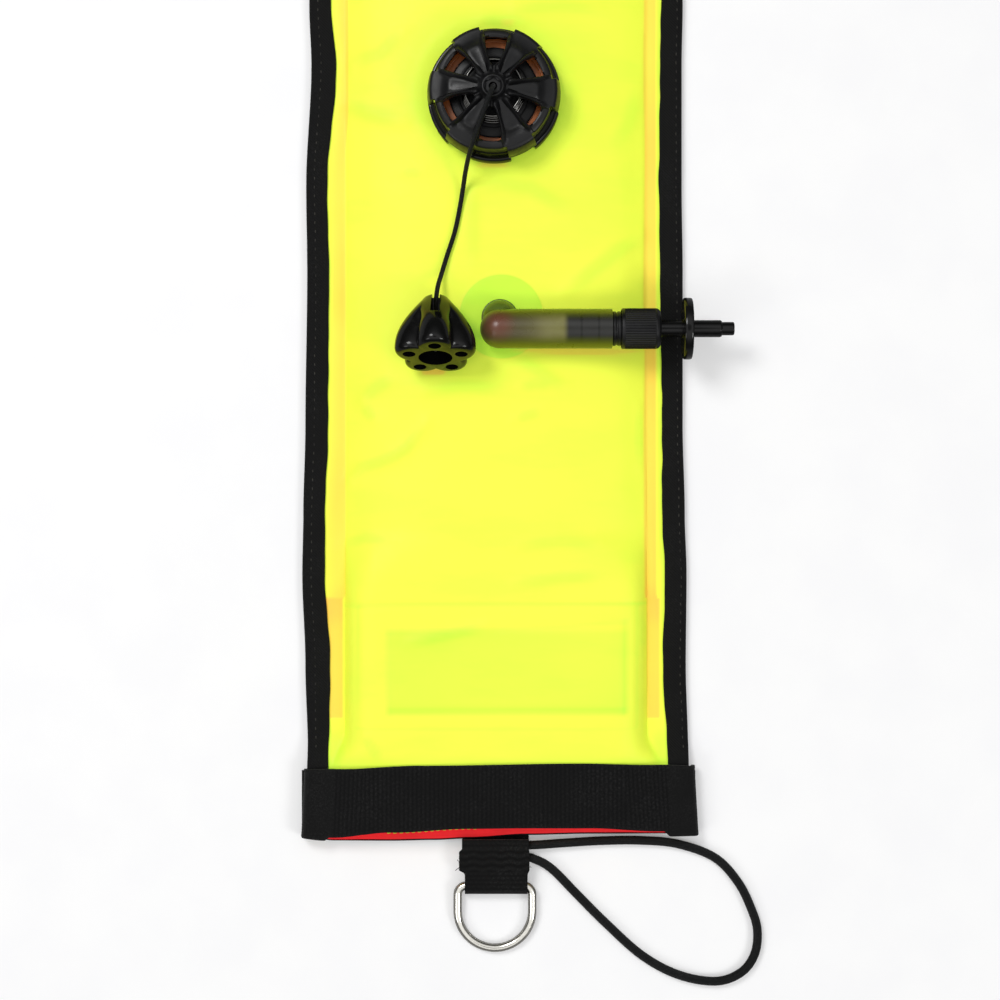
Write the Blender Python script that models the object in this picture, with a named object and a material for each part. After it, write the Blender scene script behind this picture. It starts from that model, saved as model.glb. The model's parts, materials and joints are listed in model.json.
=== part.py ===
"""Surface marker buoy, lying flat on its back: a welded fabric tube with an open webbed mouth, a dump valve
with a pull cord, an oral inflator, and a tether tab with a D-ring and an elastic loop.

Metres, +Z up. +Y runs up the buoy, and the origin is on the back face of the mouth band's middle.
"""

import math

import bmesh
import bpy
from mathutils import Matrix, Vector

# Every pair of neighbouring pieces keeps this gap.
GAP = 0.0003

# The bag, as it lies flat.
BAG_LENGTH = 1.200
BAG_WIDTH = 0.146
FABRIC = 0.0006
MOUTH_Y = -0.0142
CROWN = 0.0108
CROWN_POWER = 3.5
FLAT_POWER = 16
FLAT_RAMP = 0.030
WELD_WIDTH = 0.0052
FLAT_SHARE = 0.724
TOP_TAPER = 0.070
PANEL_DIP = 0.008

# The edging tape, folded over both panels.
TAPE = 0.0006
TAPE_WIDTH = 0.0098

# The webbing round the mouth and the tether tab.
WEBBING = 0.0012
BAND_WIDTH = 0.0248
BAND_OVERHANG = 0.0030
MOUTH_BOW = 0.0030
MOUTH_RAMP = 0.014
TAB_WIDTH = 0.0254
TAB_X = -0.0004
TAB_HIDDEN = 0.020
TAB_RETURN_Y = -0.0155

# The D-ring, a bent steel wire.
RING_WIRE = 0.0031
RING_WIDTH = 0.0317
RING_DEPTH = 0.0258
RING_CORNER = 0.0020
RING_BAR_Y = -0.0335

# The elastic loop. Its two ends are stitched between the layers of the tab.
BUNGEE = 0.0034

# Inside the bag: the one-way flap behind the mouth and the ballast plate in its welded pocket.
FLAP_WIDTH = 0.098
FLAP_HEIGHT = 0.065
INNER_FABRIC = 0.0004
PLATE_WIDTH = 0.091
PLATE_HEIGHT = 0.0316
PLATE_THICK = 0.0012
PLATE_X = 0.0035
PLATE_Y = 0.0483
POCKET_WIDTH = 0.1066
POCKET_HEIGHT = 0.0465
POCKET_X = 0.0008
POCKET_Y = 0.0508

# The dump valve. Heights are above the front panel.
VALVE_X = -0.0008
VALVE_Y = 0.268
VALVE_FLANGE_R = 0.032
VALVE_FLANGE = 0.0014
NECK_R = 0.0150
NECK_WALL = 0.0022
NECK_RISE = 0.0050
GASKET = 0.0010
GASKET_WIDTH = 0.0030
BODY_R = 0.0224
BODY_WALL = 0.0016
BODY_FLOOR = 0.0016
BODY_HEIGHT = 0.0120
COLLAR_WALL = 0.0019
BASE_RING_R = 0.0252
BASE_RING_HEIGHT = 0.0066
BASE_SEGMENT_ARC = math.radians(48)
SEAT_BORE_R = 0.0120
SEAT_LIP_R = 0.0146
SEAT_LIP = 0.0010
SEAT_LIP_HEIGHT = 0.0006
SEAL_R = 0.0176
SEAL = 0.0008
POPPET_R = 0.0140
POPPET = 0.0011
POPPET_BOSS_R = 0.0102
POST_R = 0.0020
POST_HEIGHT = 0.0030
CAP_RIM = 0.0030
CAP_WALL = 0.0019
CAP_SKIRT = 0.0030
CAP_SHELL = 0.0018
DOME_RISE = 0.0052
HUB_R = 0.0045
HUB_RISE = 0.0010
HUB_BORE_R = 0.0022
SPOKES = 6
WINDOW_INNER_R = 0.0080
WINDOW_OUTER_R = 0.0175
WINDOW_INNER_WIDTH = 0.0022
WINDOW_OUTER_WIDTH = 0.0108
LUG = 0.0016
LUG_ARC = math.radians(27)
LUG_DROP = 0.0048
SPRING_WIRE = 0.0009
SPRING_WIDE_R = 0.0120
SPRING_NARROW_R = 0.0105
SPRING_TURNS = 4
TURN_POINTS = 10

# The pull cord and its knob.
CORD = 0.0018
KNOB_R = 0.0156
KNOB_VALLEY_R = 0.0112
KNOB_APEX_R = 0.0042
KNOB_LENGTH = 0.0255
KNOB_LOBES = 5
KNOB_TILT = math.radians(21)
KNOB_BORE_R = 0.0012
KNOB_RECESS_R = 0.0064
KNOB_RECESS = 0.0090
KNOB_X = -0.0219
KNOB_Y = 0.1911
KNOT_R = 0.0028
KNOT_LENGTH = 0.0045

# The oral inflator. Its axis runs along X, and its lengths are measured along X from the elbow's leg.
LEG_X = 0.0015
LEG_Y = 0.1836
LEG_R = 0.0064
LEG_BORE_R = 0.0049
SPIGOT_WALL = 0.0014
SPIGOT_RISE = 0.0038
INFLATOR_FLANGE_R = 0.0158
INFLATOR_FLANGE = 0.0012
HOSE_Y = 0.1788
HOSE_R = 0.00745
HOSE_WALL = 0.0015
HOSE_LENGTH = 0.0422
BARB_LENGTH = 0.0172
BARB = 0.00025
BARB_AT = (0.0052, 0.0117)
COLLAR_R = 0.0065
COLLAR_LENGTH = 0.0029
THREAD_R = 0.0060
THREAD_LENGTH = 0.0111
CHAMBER_R = 0.0044
LEDGE_AT = 0.0042
LEDGE = 0.0015
LEDGE_BORE_R = 0.0029
NUT_R = 0.00765
NUT_LENGTH = 0.0147
NUT_WALL = 0.0012
KNURLS = 26
KNURL = 0.00025
O_RING = 0.0010
O_RING_RADIAL = 0.0006
STEM_R = 0.0032
STEM_BORE_R = 0.0018
STEM_NECK_R = 0.0019
STEM_SHOULDER = 0.0115
STEM_TO_DISC = 0.0083
DISC_R = 0.0116
DISC = 0.0040
DISC_ROUND = 0.0012
STEM_PAST_DISC = 0.0107
TIP_R = 0.0025
TIP_LENGTH = 0.0047
VALVE_DISC_R = 0.0040
VALVE_DISC = 0.0017
SPINDLE_R = 0.0010
SPINDLE_HEAD_R = 0.0016
SPINDLE_HEAD = 0.0009
INNER_SPRING_WIRE = 0.0007
INNER_SPRING_TURNS = 5

# How finely round pieces are cut into flat faces.
ROUND_STEPS = 24
VALVE_STEPS = 36
KNOB_STEPS = 50


def clear_scene():
    for old in list(bpy.data.objects):
        bpy.data.objects.remove(old, do_unlink=True)


def make_material(name, color, roughness, metallic=0.0):
    material = bpy.data.materials.new(name)
    material.use_nodes = True
    shader = material.node_tree.nodes["Principled BSDF"]
    shader.inputs["Base Color"].default_value = (*color, 1.0)
    shader.inputs["Roughness"].default_value = roughness
    shader.inputs["Metallic"].default_value = metallic
    material.diffuse_color = (*color, 1.0)
    return material


def make_object(name, mesh, material, sharp=math.radians(32)):
    mesh.materials.append(material)
    mesh.shade_smooth()
    mesh.set_sharp_from_angle(angle=sharp)
    obj = bpy.data.objects.new(name, mesh)
    bpy.context.scene.collection.objects.link(obj)
    return obj


def mesh_from(name, points, faces):
    mesh = bpy.data.meshes.new(name)
    mesh.from_pydata(points, [], faces)
    work = bmesh.new()
    work.from_mesh(mesh)
    bmesh.ops.recalc_face_normals(work, faces=work.faces)
    work.to_mesh(mesh)
    work.free()
    return mesh


def smooth_step(value):
    value = min(max(value, 0.0), 1.0)
    return value * value * (3.0 - 2.0 * value)


# Levels of the bag as it lies.
HALF_WIDTH = BAG_WIDTH / 2
TAPE_INNER_X = HALF_WIDTH - TAPE_WIDTH
SEAM_X = TAPE_INNER_X - WELD_WIDTH
FLAT_HALF = SEAM_X * FLAT_SHARE
PANEL_HALF = HALF_WIDTH - TAPE - GAP
TOP_Y = MOUTH_Y + BAG_LENGTH
PANEL_TOP_Y = TOP_Y - TAPE - GAP
BAND_TOP_Y = MOUTH_Y + BAND_WIDTH + GAP
MOUTH_RISE = 2 * (WEBBING + GAP)
PANEL_RISE = TAPE + GAP
EDGE_LEVEL = PANEL_RISE + FABRIC + GAP
POCKET_TOP_Y = POCKET_Y + POCKET_HEIGHT / 2


def lift(y):
    """How far the edge of the bag is raised near its mouth, where it lies on the webbing."""
    return MOUTH_RISE * (1.0 - smooth_step((y - BAND_TOP_Y) / MOUTH_RAMP))


def top_closing(y):
    return 1.0 - smooth_step((y - (TOP_Y - TAPE_WIDTH - TOP_TAPER)) / TOP_TAPER)


def back_level(x, y):
    """Underside of the back panel: on the ground in the middle, and raised at the seam that meets the tape."""
    side = smooth_step((abs(x) - (SEAM_X - PANEL_DIP)) / PANEL_DIP)
    end = smooth_step((y - (TOP_Y - TAPE_WIDTH - PANEL_DIP)) / PANEL_DIP)
    return lift(y) + PANEL_RISE * max(side, end)


def front_level(x, y):
    """Underside of the front panel: pinched at its side seams, and flat on top like a half-filled tube.

    The seams start above the mouth, and the ballast plate holds the panel flat across its own height.
    """
    edge = lift(y) + EDGE_LEVEL
    above_mouth = smooth_step((y - BAND_TOP_Y) / MOUTH_RAMP)
    below_flat_end = 1.0 - smooth_step((y - POCKET_TOP_Y) / FLAT_RAMP)
    half = TAPE_INNER_X + (SEAM_X - TAPE_INNER_X) * above_mouth
    power = CROWN_POWER + (FLAT_POWER - CROWN_POWER) * above_mouth * below_flat_end
    across = min(abs(x) / half, 1.0)
    return edge + (CROWN - edge) * top_closing(y) * (1.0 - across**power)


def front_mouth(x):
    """How far the front panel's mouth edge draws back, as its middle is arched."""
    return MOUTH_BOW * (1.0 - min(abs(x) / HALF_WIDTH, 1.0) ** 2)


def spaced(start, end, count):
    return [start + (end - start) * i / (count - 1) for i in range(count)]


def sheet(name, columns, rows, underside, thickness, material, shift=None):
    """A closed sheet over a grid of columns along X and rows along Y. shift moves a point along Y."""
    points = []
    for level in (0.0, thickness):
        for y in rows:
            for x in columns:
                moved = y + (shift(x, y) if shift else 0.0)
                points.append((x, moved, underside(x, y) + level))
    wide = len(columns)
    layer = wide * len(rows)
    faces = []
    for j in range(len(rows) - 1):
        for i in range(wide - 1):
            a = j * wide + i
            quad = (a, a + 1, a + 1 + wide, a + wide)
            faces.append(tuple(reversed(quad)))
            faces.append(tuple(index + layer for index in quad))
    edge = list(range(wide))
    edge += [j * wide + wide - 1 for j in range(1, len(rows))]
    edge += [(len(rows) - 1) * wide + i for i in range(wide - 2, -1, -1)]
    edge += [j * wide for j in range(len(rows) - 2, 0, -1)]
    for a, b in zip(edge, edge[1:] + edge[:1]):
        faces.append((a, b, b + layer, a + layer))
    return make_object(name, mesh_from(name, points, faces), material)


def loft(name, sections, material):
    """A closed body through rings of points of one count, capped at both ends."""
    count = len(sections[0])
    points = [point for section in sections for point in section]
    faces = []
    for s in range(len(sections) - 1):
        for i in range(count):
            a = s * count + i
            b = s * count + (i + 1) % count
            faces.append((a, b, b + count, a + count))
    last = (len(sections) - 1) * count
    faces.append(tuple(range(count))[::-1])
    faces.append(tuple(last + i for i in range(count)))
    return make_object(name, mesh_from(name, points, faces), material)


def turned_mesh(name, profile, steps=ROUND_STEPS):
    """Turns a closed profile of (radius, height) about Z. A point of radius 0 is a pole."""
    points = []
    rings = []
    for radius, height in profile:
        if radius < 1e-7:
            rings.append([len(points)] * steps)
            points.append((0.0, 0.0, height))
            continue
        ring = []
        for k in range(steps):
            angle = 2 * math.pi * k / steps
            ring.append(len(points))
            points.append((radius * math.cos(angle), radius * math.sin(angle), height))
        rings.append(ring)
    faces = []
    for first, second in zip(rings, rings[1:] + rings[:1]):
        for k in range(steps):
            near = (k + 1) % steps
            corners = [first[k], first[near], second[near], second[k]]
            corners = [c for i, c in enumerate(corners) if c not in corners[:i]]
            if len(corners) > 2:
                faces.append(tuple(corners))
    return mesh_from(name, points, faces)


def turned(name, profile, material, place, steps=ROUND_STEPS):
    obj = make_object(name, turned_mesh(name, profile, steps), material)
    obj.matrix_world = place
    return obj


def helper(name, mesh, place=None):
    """A cutter or a shape to be joined. It isn't a piece."""
    obj = bpy.data.objects.new(name, mesh)
    bpy.context.scene.collection.objects.link(obj)
    obj.hide_render = True
    obj.display_type = "WIRE"
    if place is not None:
        obj.matrix_world = place
    return obj


def combine(obj, other, operation):
    modifier = obj.modifiers.new(other.name, "BOOLEAN")
    modifier.operation = operation
    modifier.solver = "EXACT"
    modifier.object = other


def rod(low, high, radius):
    return [(0.0, low), (radius, low), (radius, high), (0.0, high)]


def smooth_route(stops, spacing):
    """Points at an even spacing on a smooth curve through the stops."""
    stops = [Vector(stop) for stop in stops]
    before = [stops[0] * 2 - stops[1]] + stops + [stops[-1] * 2 - stops[-2]]
    fine = []
    for i in range(1, len(before) - 2):
        p0, p1, p2, p3 = before[i - 1 : i + 3]
        for k in range(24):
            t = k / 24
            fine.append(
                0.5
                * (
                    2 * p1
                    + (p2 - p0) * t
                    + (2 * p0 - 5 * p1 + 4 * p2 - p3) * t * t
                    + (3 * p1 - p0 - 3 * p2 + p3) * t**3
                )
            )
    fine.append(stops[-1])
    lengths = [0.0]
    for a, b in zip(fine, fine[1:]):
        lengths.append(lengths[-1] + (b - a).length)
    count = max(2, round(lengths[-1] / spacing) + 1)
    route = []
    for target in spaced(0.0, lengths[-1], count):
        i = next((i for i in range(1, len(lengths)) if lengths[i] >= target - 1e-12), len(fine) - 1)
        span = lengths[i] - lengths[i - 1]
        route.append(fine[i - 1].lerp(fine[i], (target - lengths[i - 1]) / span))
    return route


def tube(name, route, radius, resolution, material, cyclic=False):
    curve = bpy.data.curves.new(name, "CURVE")
    curve.dimensions = "3D"
    curve.bevel_depth = radius
    curve.bevel_resolution = resolution
    curve.use_fill_caps = True
    spline = curve.splines.new("POLY")
    spline.points.add(len(route) - 1)
    for point, place in zip(spline.points, route):
        point.co = (*place, 1.0)
    spline.use_cyclic_u = cyclic
    curve.materials.append(material)
    obj = bpy.data.objects.new(name, curve)
    bpy.context.scene.collection.objects.link(obj)
    return obj


def least_gap(route, wire, per_turn):
    """Least gap of a wound wire to itself, between points at least half a turn apart."""
    apart = per_turn // 2
    nearest = min(
        (route[i] - route[j]).length for i in range(len(route)) for j in range(i + apart, len(route))
    )
    return nearest - wire


def wound_spring(name, start_r, end_r, length, turns, wire, material):
    """A helical spring about Z from height 0, one unbroken wire."""
    route = []
    count = turns * TURN_POINTS
    rise = length - wire
    for k in range(count + 1):
        part = k / count
        angle = 2 * math.pi * turns * part
        radius = start_r + (end_r - start_r) * part
        route.append(Vector((radius * math.cos(angle), radius * math.sin(angle), wire / 2 + rise * part)))
    print(name, "least gap to itself, mm:", round(1000 * least_gap(route, wire, TURN_POINTS), 3))
    return tube(name, route, wire / 2, 1, material)


def chamber_columns():
    """Columns between the tapes, closer together towards the seams, with one at each edge inside the bag."""
    edges = [SEAM_X, PLATE_WIDTH / 2 + abs(PLATE_X), POCKET_WIDTH / 2 + abs(POCKET_X), TAPE_INNER_X]
    even = [SEAM_X * math.sin(math.pi / 2 * k / 7) for k in range(7)]
    half = edges + [x for x in even if min(abs(x - edge) for edge in edges) > PANEL_DIP / 4]
    return sorted({round(side * x, 6) for x in half for side in (-1, 1)})


def panel_columns():
    return [-PANEL_HALF] + chamber_columns() + [PANEL_HALF]


def build_bag(materials):
    """The front panel is in four parts, because its flat middle, rounded sides and closing end are four shapes."""
    mouth = [MOUTH_Y + GAP] + spaced(BAND_TOP_Y, BAND_TOP_Y + MOUTH_RAMP, 4)
    pocket = [POCKET_Y, POCKET_TOP_Y]
    flat_end = spaced(POCKET_TOP_Y, POCKET_TOP_Y + FLAT_RAMP, 5)[1:]
    taper = spaced(TOP_Y - TAPE_WIDTH - TOP_TAPER, TOP_Y - TAPE_WIDTH, 8)
    middle = spaced(flat_end[-1], taper[0], 6)[1:-1]
    tube = pocket + flat_end + middle
    long_rows = mouth + tube + [taper[0] - GAP]
    side_columns = [FLAT_HALF + GAP] + [x for x in panel_columns() if x > FLAT_HALF + PANEL_DIP / 4]
    flat_columns = [x for x in panel_columns() if abs(x) < FLAT_HALF - PANEL_DIP / 4]
    parts = {
        "front_panel": [-FLAT_HALF] + flat_columns + [FLAT_HALF],
        "front_side_left": [-x for x in reversed(side_columns)],
        "front_side_right": side_columns,
    }
    fronts = {}
    for name, columns in parts.items():
        fronts[name] = sheet(
            name,
            columns,
            long_rows,
            front_level,
            FABRIC,
            materials["front"],
            lambda x, y: front_mouth(x) if y <= MOUTH_Y + GAP else 0.0,
        )
    sheet("front_top", panel_columns(), taper + [PANEL_TOP_Y], front_level, FABRIC, materials["front"])
    for label, x, y, radius in (
        ("valve_hole", VALVE_X, VALVE_Y, NECK_R + GAP),
        ("inflator_hole", LEG_X, LEG_Y, LEG_BORE_R),
    ):
        place = Matrix.Translation((x, y, 0.0))
        cutter = helper(label, turned_mesh(label, rod(-CROWN, 3 * CROWN, radius)), place)
        combine(fronts["front_panel"], cutter, "DIFFERENCE")
    sheet("back_mouth", panel_columns(), mouth[:-1] + [mouth[-1] - GAP], back_level, FABRIC, materials["back"])
    back_rows = [mouth[-1]] + tube + taper + [PANEL_TOP_Y]
    sheet("back_panel", panel_columns(), back_rows, back_level, FABRIC, materials["back"])
    build_edging(materials["tape"], mouth + [TOP_Y])
    flap_low = BAND_TOP_Y + MOUTH_RAMP
    sheet(
        "mouth_flap",
        spaced(-FLAP_WIDTH / 2, FLAP_WIDTH / 2, 2),
        spaced(flap_low, flap_low + FLAP_HEIGHT, 2),
        lambda x, y: back_level(x, y) + FABRIC + GAP,
        INNER_FABRIC,
        materials["inner"],
    )
    build_ballast(materials)


def tape_section():
    """The folded tape's section as (distance inwards from the edge, height)."""
    height = EDGE_LEVEL + FABRIC + GAP + TAPE
    bend = TAPE + GAP
    return [
        (TAPE_WIDTH, 0.0),
        (bend, 0.0),
        (bend * 0.3, height * 0.14),
        (0.0, height * 0.36),
        (0.0, height * 0.64),
        (bend * 0.3, height * 0.86),
        (bend, height),
        (TAPE_WIDTH, height),
        (TAPE_WIDTH, height - TAPE),
        (bend, height - TAPE),
        (TAPE, height * 0.62),
        (TAPE, height * 0.38),
        (bend, TAPE),
        (TAPE_WIDTH, TAPE),
    ]


def build_edging(material, rows):
    for name, side in (("edge_tape_left", -1), ("edge_tape_right", 1)):
        sections = [
            [(side * (HALF_WIDTH - inwards), y, lift(y) + height) for inwards, height in tape_section()]
            for y in rows
        ]
        loft(name, sections, material)
    half = TAPE_INNER_X - GAP
    sections = [[(x, TOP_Y - inwards, height) for inwards, height in tape_section()] for x in (-half, half)]
    loft("edge_tape_top", sections, material)


def build_ballast(materials):
    half = PLATE_WIDTH / 2 + abs(PLATE_X)
    plate_top = front_level(half, PLATE_Y) - GAP
    low = plate_top - PLATE_THICK
    columns = spaced(PLATE_X - PLATE_WIDTH / 2, PLATE_X + PLATE_WIDTH / 2, 2)
    rows = spaced(PLATE_Y - PLATE_HEIGHT / 2, PLATE_Y + PLATE_HEIGHT / 2, 2)
    sheet("ballast_plate", columns, rows, lambda x, y: low, PLATE_THICK, materials["plate"])

    pocket_x = spaced(POCKET_X - POCKET_WIDTH / 2, POCKET_X + POCKET_WIDTH / 2, 2)
    pocket_y = spaced(POCKET_Y - POCKET_HEIGHT / 2, POCKET_Y + POCKET_HEIGHT / 2, 2)
    rim_level = front_level(POCKET_WIDTH / 2 + abs(POCKET_X), POCKET_Y) - GAP - INNER_FABRIC
    below_plate = low - GAP - INNER_FABRIC

    def pocket_level(x, y):
        over_plate = columns[0] - GAP <= x <= columns[1] + GAP and rows[0] - GAP <= y <= rows[1] + GAP
        return min(below_plate, rim_level) if over_plate else rim_level

    wide = [pocket_x[0], columns[0] - GAP, columns[1] + GAP, pocket_x[1]]
    tall = [pocket_y[0], rows[0] - GAP, rows[1] + GAP, pocket_y[1]]
    sheet("ballast_pocket", wide, tall, pocket_level, INNER_FABRIC, materials["inner"])


def build_mouth_bands(material):
    """Two webbing bands face each other across the mouth. The front one comes down round the edges."""
    back_low = WEBBING + GAP
    band_half = HALF_WIDTH + BAND_OVERHANG
    sheet(
        "mouth_band_back",
        spaced(-band_half, band_half, 2),
        spaced(MOUTH_Y, MOUTH_Y + BAND_WIDTH, 2),
        lambda x, y: back_low,
        WEBBING,
        material,
    )
    leg_low = back_low + WEBBING + GAP
    tape_top = MOUTH_RISE + tape_section()[7][1] + GAP
    crown_low = CROWN + FABRIC + GAP

    def arch(x):
        across = min(abs(x) / TAPE_INNER_X, 1.0)
        return tape_top + (crown_low - tape_top) * (1.0 - across**CROWN_POWER)

    over = chamber_columns()
    corner = BAND_OVERHANG - WEBBING
    leg_inner = band_half - WEBBING
    inner = [(-leg_inner, leg_low), (-leg_inner, tape_top - corner / 2), (-leg_inner + corner / 2, tape_top)]
    inner += [(x, arch(x)) for x in over]
    inner += [(leg_inner - corner / 2, tape_top), (leg_inner, tape_top - corner / 2), (leg_inner, leg_low)]
    outer = [(-band_half, leg_low), (-band_half, tape_top - corner / 2)]
    outer += [(-leg_inner, tape_top + WEBBING)]
    outer += [(x, arch(x) + WEBBING) for x in over]
    outer += [(leg_inner, tape_top + WEBBING), (band_half, tape_top - corner / 2), (band_half, leg_low)]
    sections = []
    for level in (MOUTH_Y, MOUTH_Y + BAND_WIDTH):
        ring = inner + outer[::-1]
        sections.append([(x, level + front_mouth(x), z) for x, z in ring])
    loft("mouth_band_front", sections, material)


def build_tether(materials):
    """The tab goes from behind the mouth band round the ring's bar and back over the loop's ends."""
    bar_level = WEBBING + GAP + BUNGEE / 2
    inner_r = bar_level - WEBBING
    outer_r = bar_level
    turn = [math.pi * k / 8 for k in range(9)]
    lower_end = MOUTH_Y + TAB_HIDDEN
    ring = [(lower_end, WEBBING)]
    ring += [(RING_BAR_Y - inner_r * math.sin(a), bar_level - inner_r * math.cos(a)) for a in turn]
    ring += [(TAB_RETURN_Y, bar_level + inner_r), (TAB_RETURN_Y, bar_level + outer_r)]
    ring += [(RING_BAR_Y - outer_r * math.sin(a), bar_level + outer_r * math.cos(a)) for a in turn]
    ring += [(lower_end, 0.0)]
    sections = [[(TAB_X + side * TAB_WIDTH / 2, y, z) for y, z in ring] for side in (-1, 1)]
    loft("tether_tab", sections, materials["webbing"])
    build_ring(materials["steel"], bar_level)


def build_ring(material, bar_level):
    """The ring lies down until its round end touches the ground."""
    half = RING_WIDTH / 2 - RING_WIRE / 2
    depth = RING_DEPTH - RING_WIRE / 2
    route = []
    for k in range(5):
        angle = math.pi / 2 - math.pi / 2 * k / 4
        route.append(
            Vector(
                (
                    half - RING_CORNER + RING_CORNER * math.cos(angle),
                    RING_CORNER * math.sin(angle) - RING_CORNER,
                    0.0,
                )
            )
        )
    bend_y = half - depth
    for k in range(13):
        angle = -math.pi * k / 12
        route.append(Vector((half * math.cos(angle), bend_y + half * math.sin(angle), 0.0)))
    route += [Vector((-point.x, point.y, 0.0)) for point in reversed(route[:5])]
    drop = math.asin((bar_level - RING_WIRE / 2) / depth)
    ring = tube("d_ring", route, RING_WIRE / 2, 3, material, cyclic=True)
    ring.location = (TAB_X, RING_BAR_Y, bar_level)
    ring.rotation_euler = (drop, 0.0, 0.0)


def bungee_stops():
    """The elastic loop's route, from inside the tab round the loop and back into the tab."""
    level = WEBBING + GAP + BUNGEE / 2
    flat = BUNGEE / 2 + GAP / 2
    return [
        (-0.0090, -0.0180, level),
        (0.0123, -0.0180, level),
        (0.0258, -0.0173, flat + 0.0006),
        (0.0410, -0.0165, flat),
        (0.0560, -0.0164, flat),
        (0.0700, -0.0178, flat),
        (0.0840, -0.0230, flat),
        (0.0928, -0.0322, flat),
        (0.0980, -0.0425, flat),
        (0.1004, -0.0510, flat),
        (0.0993, -0.0602, flat),
        (0.0940, -0.0672, flat),
        (0.0843, -0.0705, flat),
        (0.0700, -0.0680, flat),
        (0.0560, -0.0605, flat),
        (0.0420, -0.0480, flat),
        (0.0310, -0.0370, flat),
        (0.0215, -0.0273, flat + 0.0006),
        (0.0150, -0.0235, level - 0.0003),
        (0.0100, -0.0226, level),
        (-0.0090, -0.0226, level),
    ]


def panel_top(x, y):
    return front_level(x, y) + FABRIC


def build_dump_valve(materials):
    base = panel_top(VALVE_X, VALVE_Y)
    place = Matrix.Translation((VALVE_X, VALVE_Y, base))
    flange_top = front_level(abs(VALVE_X) + VALVE_FLANGE_R, VALVE_Y) - GAP - base
    flange_low = flange_top - VALVE_FLANGE
    neck_bore = NECK_R - NECK_WALL
    black = materials["valve_black"]
    turned(
        "dump_valve_flange",
        [
            (neck_bore, flange_low),
            (VALVE_FLANGE_R, flange_low),
            (VALVE_FLANGE_R, flange_top),
            (NECK_R, flange_top),
            (NECK_R, NECK_RISE),
            (neck_bore, NECK_RISE),
        ],
        black,
        place,
    )
    gasket_in = NECK_R + GAP
    turned(
        "dump_valve_gasket",
        [
            (gasket_in, GAP),
            (gasket_in + GASKET_WIDTH, GAP),
            (gasket_in + GASKET_WIDTH, GAP + GASKET),
            (gasket_in, GAP + GASKET),
        ],
        materials["rubber"],
        place,
    )
    floor_low = NECK_RISE + GAP
    floor_top = floor_low + BODY_FLOOR
    collar_low = 2 * GAP + GASKET
    body = turned(
        "dump_valve_body",
        [
            (SEAT_BORE_R, floor_low),
            (gasket_in, floor_low),
            (gasket_in, collar_low),
            (gasket_in + COLLAR_WALL, collar_low),
            (gasket_in + COLLAR_WALL, floor_low),
            (BODY_R - BODY_WALL, floor_low),
            (BODY_R - BODY_WALL, GAP),
            (BODY_R, GAP),
            (BODY_R, BODY_HEIGHT),
            (BODY_R - BODY_WALL, BODY_HEIGHT),
            (BODY_R - BODY_WALL, floor_top),
            (SEAT_LIP_R, floor_top),
            (SEAT_LIP_R, floor_top + SEAT_LIP_HEIGHT),
            (SEAT_LIP_R - SEAT_LIP, floor_top + SEAT_LIP_HEIGHT),
            (SEAT_LIP_R - SEAT_LIP, floor_top),
            (SEAT_BORE_R, floor_top),
        ],
        black,
        place,
        VALVE_STEPS,
    )
    for k in range(SPOKES):
        middle = math.radians(30) + 2 * math.pi * k / SPOKES
        segment = arc_block(
            f"base_segment_{k}",
            BODY_R - BODY_WALL / 2,
            BASE_RING_R,
            2 * GAP,
            BASE_RING_HEIGHT,
            middle,
            BASE_SEGMENT_ARC,
        )
        segment.matrix_world = place
        combine(body, segment, "UNION")
    seal_low = floor_top + SEAT_LIP_HEIGHT + GAP
    seal_in = POPPET_BOSS_R + GAP
    turned(
        "dump_valve_seal",
        [
            (seal_in, seal_low),
            (SEAL_R, seal_low),
            (SEAL_R, seal_low + SEAL),
            (seal_in, seal_low + SEAL),
        ],
        materials["seal"],
        place,
    )
    disc_low = seal_low + SEAL + GAP
    disc_top = disc_low + POPPET
    turned(
        "dump_valve_poppet",
        [
            (0.0, seal_low),
            (POPPET_BOSS_R, seal_low),
            (POPPET_BOSS_R, disc_low),
            (POPPET_R, disc_low),
            (POPPET_R, disc_top),
            (POST_R, disc_top),
            (POST_R, disc_top + POST_HEIGHT),
            (0.0, disc_top + POST_HEIGHT),
        ],
        black,
        place,
    )
    spring_low = disc_top + GAP
    shell_under = dome_height(SPRING_NARROW_R + SPRING_WIRE / 2) - CAP_SHELL - GAP
    spring = wound_spring(
        "dump_valve_spring",
        SPRING_WIDE_R,
        SPRING_NARROW_R,
        shell_under - spring_low,
        SPRING_TURNS,
        SPRING_WIRE,
        materials["steel"],
    )
    spring.matrix_world = place @ Matrix.Translation((0.0, 0.0, spring_low))
    build_cap(black, place)
    return base + disc_top + POST_HEIGHT + GAP


def dome_height(radius):
    """Top of the cap above the front panel, at a radius from the valve's axis."""
    rim_top = BODY_HEIGHT + GAP + CAP_RIM
    across = max(0.0, radius - HUB_R) / (BODY_R - HUB_R)
    return rim_top + DOME_RISE * (1.0 - across**2)


def arc_block(name, inner_r, outer_r, low, high, middle, arc, steps=6):
    sections = []
    for k in range(steps + 1):
        angle = middle - arc / 2 + arc * k / steps
        unit = (math.cos(angle), math.sin(angle))
        sections.append(
            [
                (radius * unit[0], radius * unit[1], z)
                for radius, z in ((inner_r, low), (outer_r, low), (outer_r, high), (inner_r, high))
            ]
        )
    obj = loft(name, sections, bpy.data.materials["valve_black"])
    obj.hide_render = True
    obj.display_type = "WIRE"
    return obj


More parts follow.
